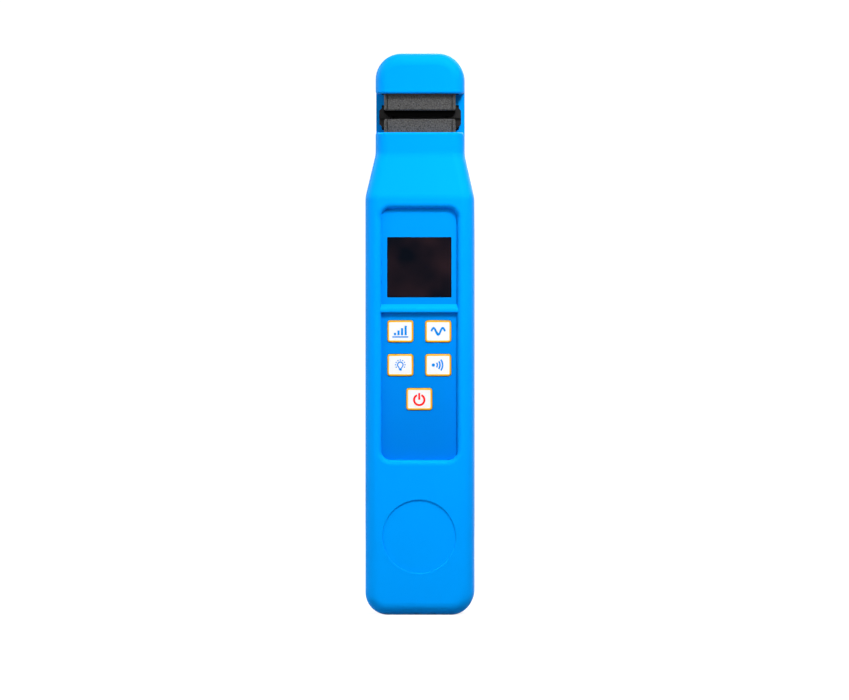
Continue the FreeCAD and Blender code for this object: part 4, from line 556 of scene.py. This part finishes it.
def make_print(key, shapes, colour):
    """The shapes as thin solids in the face of a key, which they move with."""
    low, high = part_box(key)
    middle = (low + high) / 2
    front = low.y - PRINT_PROUD
    built = bmesh.new()
    for shape in shapes:
        corners = [(middle.x + across * MM, front, middle.z + up * MM) for across, up in shape]
        built.faces.new([built.verts.new(corner) for corner in corners])
    pushed = bmesh.ops.extrude_face_region(built, geom=list(built.faces), use_keep_orig=True)
    moved = [item for item in pushed["geom"] if isinstance(item, bmesh.types.BMVert)]
    bmesh.ops.translate(built, verts=moved, vec=(0.0, PRINT_DEPTH, 0.0))
    bmesh.ops.recalc_face_normals(built, faces=built.faces)
    print_piece = new_object(f"{key}_print", built, colour)
    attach(print_piece, nodes[key]["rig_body"])


blue_ink = ink("blue_ink", INK_BLUE, INK_BLUE_THIN)
red_ink = ink("red_ink", INK_RED, INK_RED_THIN)
make_print("unit_key", level_bars(), blue_ink)
make_print("wavelength_key", wave(), blue_ink)
make_print("backlight_key", bulb(), blue_ink)
make_print("locator_key", beam(), blue_ink)
make_print("power_key", power_sign(), red_ink)


# Return springs of the clamp, wound as helices
SPRING_RADIUS = 1.9 * MM
WIRE_RADIUS = 0.3 * MM
SPRING_TURNS = 5
CLOSED_TURN = 2.1 * WIRE_RADIUS
STEPS_PER_TURN = 32
WIRE_SIDES = 12


def spring_rise(turns_done, height):
    """How high the wire is after some turns: the first and last turn lie close, as on a real spring."""
    open_turn = (height - 2 * CLOSED_TURN) / (SPRING_TURNS - 2)
    first = min(turns_done, 1.0)
    last = max(turns_done - (SPRING_TURNS - 1), 0.0)
    return (first + last) * CLOSED_TURN + (turns_done - first - last) * open_turn


def wind_spring(built, foot, height):
    """A round wire wound up from the foot, with its two cut ends closed."""
    line = []
    for step in range(SPRING_TURNS * STEPS_PER_TURN + 1):
        turns_done = step / STEPS_PER_TURN
        turn = 2 * math.pi * turns_done
        outward = Vector((math.cos(turn), math.sin(turn), 0.0))
        rise = Vector((0.0, 0.0, spring_rise(turns_done, height)))
        line.append((foot + SPRING_RADIUS * outward + rise, outward))
    rings = []
    for index, (point, outward) in enumerate(line):
        before = line[max(index - 1, 0)][0]
        after = line[min(index + 1, len(line) - 1)][0]
        upward = outward.cross((after - before).normalized())
        ring = []
        for side in range(WIRE_SIDES):
            angle = 2 * math.pi * side / WIRE_SIDES
            away = math.cos(angle) * outward + math.sin(angle) * upward
            ring.append(built.verts.new(point + WIRE_RADIUS * away))
        rings.append(ring)
    for below, above in zip(rings, rings[1:]):
        for side in range(WIRE_SIDES):
            following = (side + 1) % WIRE_SIDES
            corners = (below[side], below[following], above[following], above[side])
            built.faces.new(corners).smooth = True
    built.faces.new(rings[0])
    built.faces.new(rings[-1])


def make_return_springs():
    """Both springs as one piece, wound in the box of the CAD springs and carried by the case."""
    low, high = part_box("return_springs")
    reach = SPRING_RADIUS + WIRE_RADIUS
    height = high.z - low.z - 2 * WIRE_RADIUS
    built = bmesh.new()
    for middle_x in (low.x + reach, high.x - reach):
        foot = Vector((middle_x, (low.y + high.y) / 2, low.z + WIRE_RADIUS))
        wind_spring(built, foot, height)
    bmesh.ops.recalc_face_normals(built, faces=built.faces)
    springs = new_object("wound_return_springs", built, FINISHES["steel"])
    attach(springs, "case")
    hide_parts("return_springs")
    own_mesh(springs)


make_return_springs()


# Studio: a pale floor that sweeps up behind the object, soft lamps and a white surround
def seen_directly(tree, strength):
    """The strength for rays from the camera, off mirrors and through glass, and 0 for all other light."""
    ray = add(tree, "ShaderNodeLightPath")
    mirrored = number_math(tree, "MAXIMUM", ray.outputs["Is Camera Ray"], ray.outputs["Is Glossy Ray"])
    any_seen = number_math(tree, "MAXIMUM", mirrored, ray.outputs["Is Transmission Ray"])
    return number_math(tree, "MULTIPLY", any_seen, strength)


def studio_white():
    """Pale and matt; seen directly it glows, less near the object, where it keeps the shadow."""
    made, tree, shader = material("studio_white", specular=0.0)
    paint = speckle(tree, 0.4)
    dress(tree, shader,
          colour=between(tree, paint, STUDIO_GREY, STUDIO_GREY_PALE),
          roughness=span(tree, paint, 0.9, 0.95))
    shader.inputs["Emission Color"].default_value = opaque(WHITE)
    away = vector_math(tree, "LENGTH", place_on(tree), result="Value")
    glow = ramp(tree, away, first=0.15, last=0.9, low=0.87, high=1.0)
    tree.links.new(seen_directly(tree, glow), shader.inputs["Emission Strength"])
    return made


def make_floor():
    """A sheet along the floor that curves up into a backdrop."""
    half_width = 4.0
    front = -3.0
    back = 3.0
    bend = 0.8
    bend_steps = 16
    height = 4.0
    profile = [(front, 0.0), (back, 0.0)]
    for step in range(1, bend_steps + 1):
        turn = math.pi / 2 * step / bend_steps
        profile.append((back + bend * math.sin(turn), bend * (1 - math.cos(turn))))
    profile.append((back + bend, height))
    built = bmesh.new()
    rows = [[built.verts.new((x, y, z)) for x in (-half_width, half_width)] for y, z in profile]
    for (left, right), (next_left, next_right) in zip(rows, rows[1:]):
        built.faces.new((left, right, next_right, next_left)).smooth = True
    floor = new_object("floor", built, studio_white())


def make_lamp(name, place, aim, size, power, spread=180.0):
    """A soft lamp; a spread under 180 degrees narrows its beam, as a grid does."""
    lamp = bpy.data.lights.new(name, "AREA")
    lamp.shape = "RECTANGLE"
    lamp.size, lamp.size_y = size
    lamp.energy = power
    lamp.spread = math.radians(spread)
    made = bpy.data.objects.new(name, lamp)
    made.location = place
    made.rotation_euler = (Vector(aim) - Vector(place)).to_track_quat("-Z", "Y").to_euler()
    bpy.context.scene.collection.objects.link(made)


def make_lamps():
    """A key from the upper right, weaker light from above and the left, and light for the back."""
    handle = (0.0, 0.0, 0.04)
    middle = (0.0, 0.0, 0.1)
    make_lamp("key_lamp", place=(0.12, -0.25, 0.38), aim=handle, size=(0.1, 0.1), power=0.43, spread=90.0)
    make_lamp("top_lamp", place=(0.06, -0.2, 0.75), aim=middle, size=(0.2, 0.2), power=0.4)
    make_lamp("fill_lamp", place=(-0.6, -0.45, 0.3), aim=middle, size=(0.4, 0.4), power=1.5)
    make_lamp("back_lamp", place=(0.25, 0.9, 0.6), aim=middle, size=(0.8, 0.6), power=9.0)
    make_lamp("side_lamp", place=(-0.8, 0.4, 0.4), aim=middle, size=(0.5, 0.5), power=3.5)


def make_world():
    """White where it is seen, and a dimmer light on everything else."""
    ambient = 0.36
    world = bpy.data.worlds.new("surround")
    world.use_nodes = True
    bpy.context.scene.world = world
    tree = world.node_tree
    background = tree.nodes["Background"]
    background.inputs["Color"].default_value = opaque(WHITE)
    strength = number_math(tree, "ADD", seen_directly(tree, 1.0 - ambient), ambient)
    tree.links.new(strength, background.inputs["Strength"])


def make_camera():
    """Nearly straight on, with the object where the photograph has it."""
    image_width = 849
    # The photograph's scale, which holds at the outline, this far in front of the object's middle
    metres_per_pixel = 0.36477 * MM
    outline_depth = 12 * MM
    # The middle of the picture, in pixels across and up from the middle of the object's foot
    pixels_across = 4.26
    pixels_up = 264.8
    distance = 2.5
    turn = math.radians(1.5)
    across = pixels_across * metres_per_pixel
    up = pixels_up * metres_per_pixel
    data = bpy.data.cameras.new("photo_camera")
    data.sensor_width = 36.0
    data.lens = data.sensor_width * (distance - outline_depth) / (image_width * metres_per_pixel)
    camera = bpy.data.objects.new("photo_camera", data)
    camera.location = (across * math.cos(turn) + distance * math.sin(turn),
                       across * math.sin(turn) - distance * math.cos(turn), up)
    camera.rotation_euler = (math.pi / 2, 0.0, turn)
    bpy.context.scene.collection.objects.link(camera)
    bpy.context.scene.camera = camera


make_floor()
make_lamps()
make_world()
make_camera()
bpy.context.scene.view_settings.view_transform = "Standard"
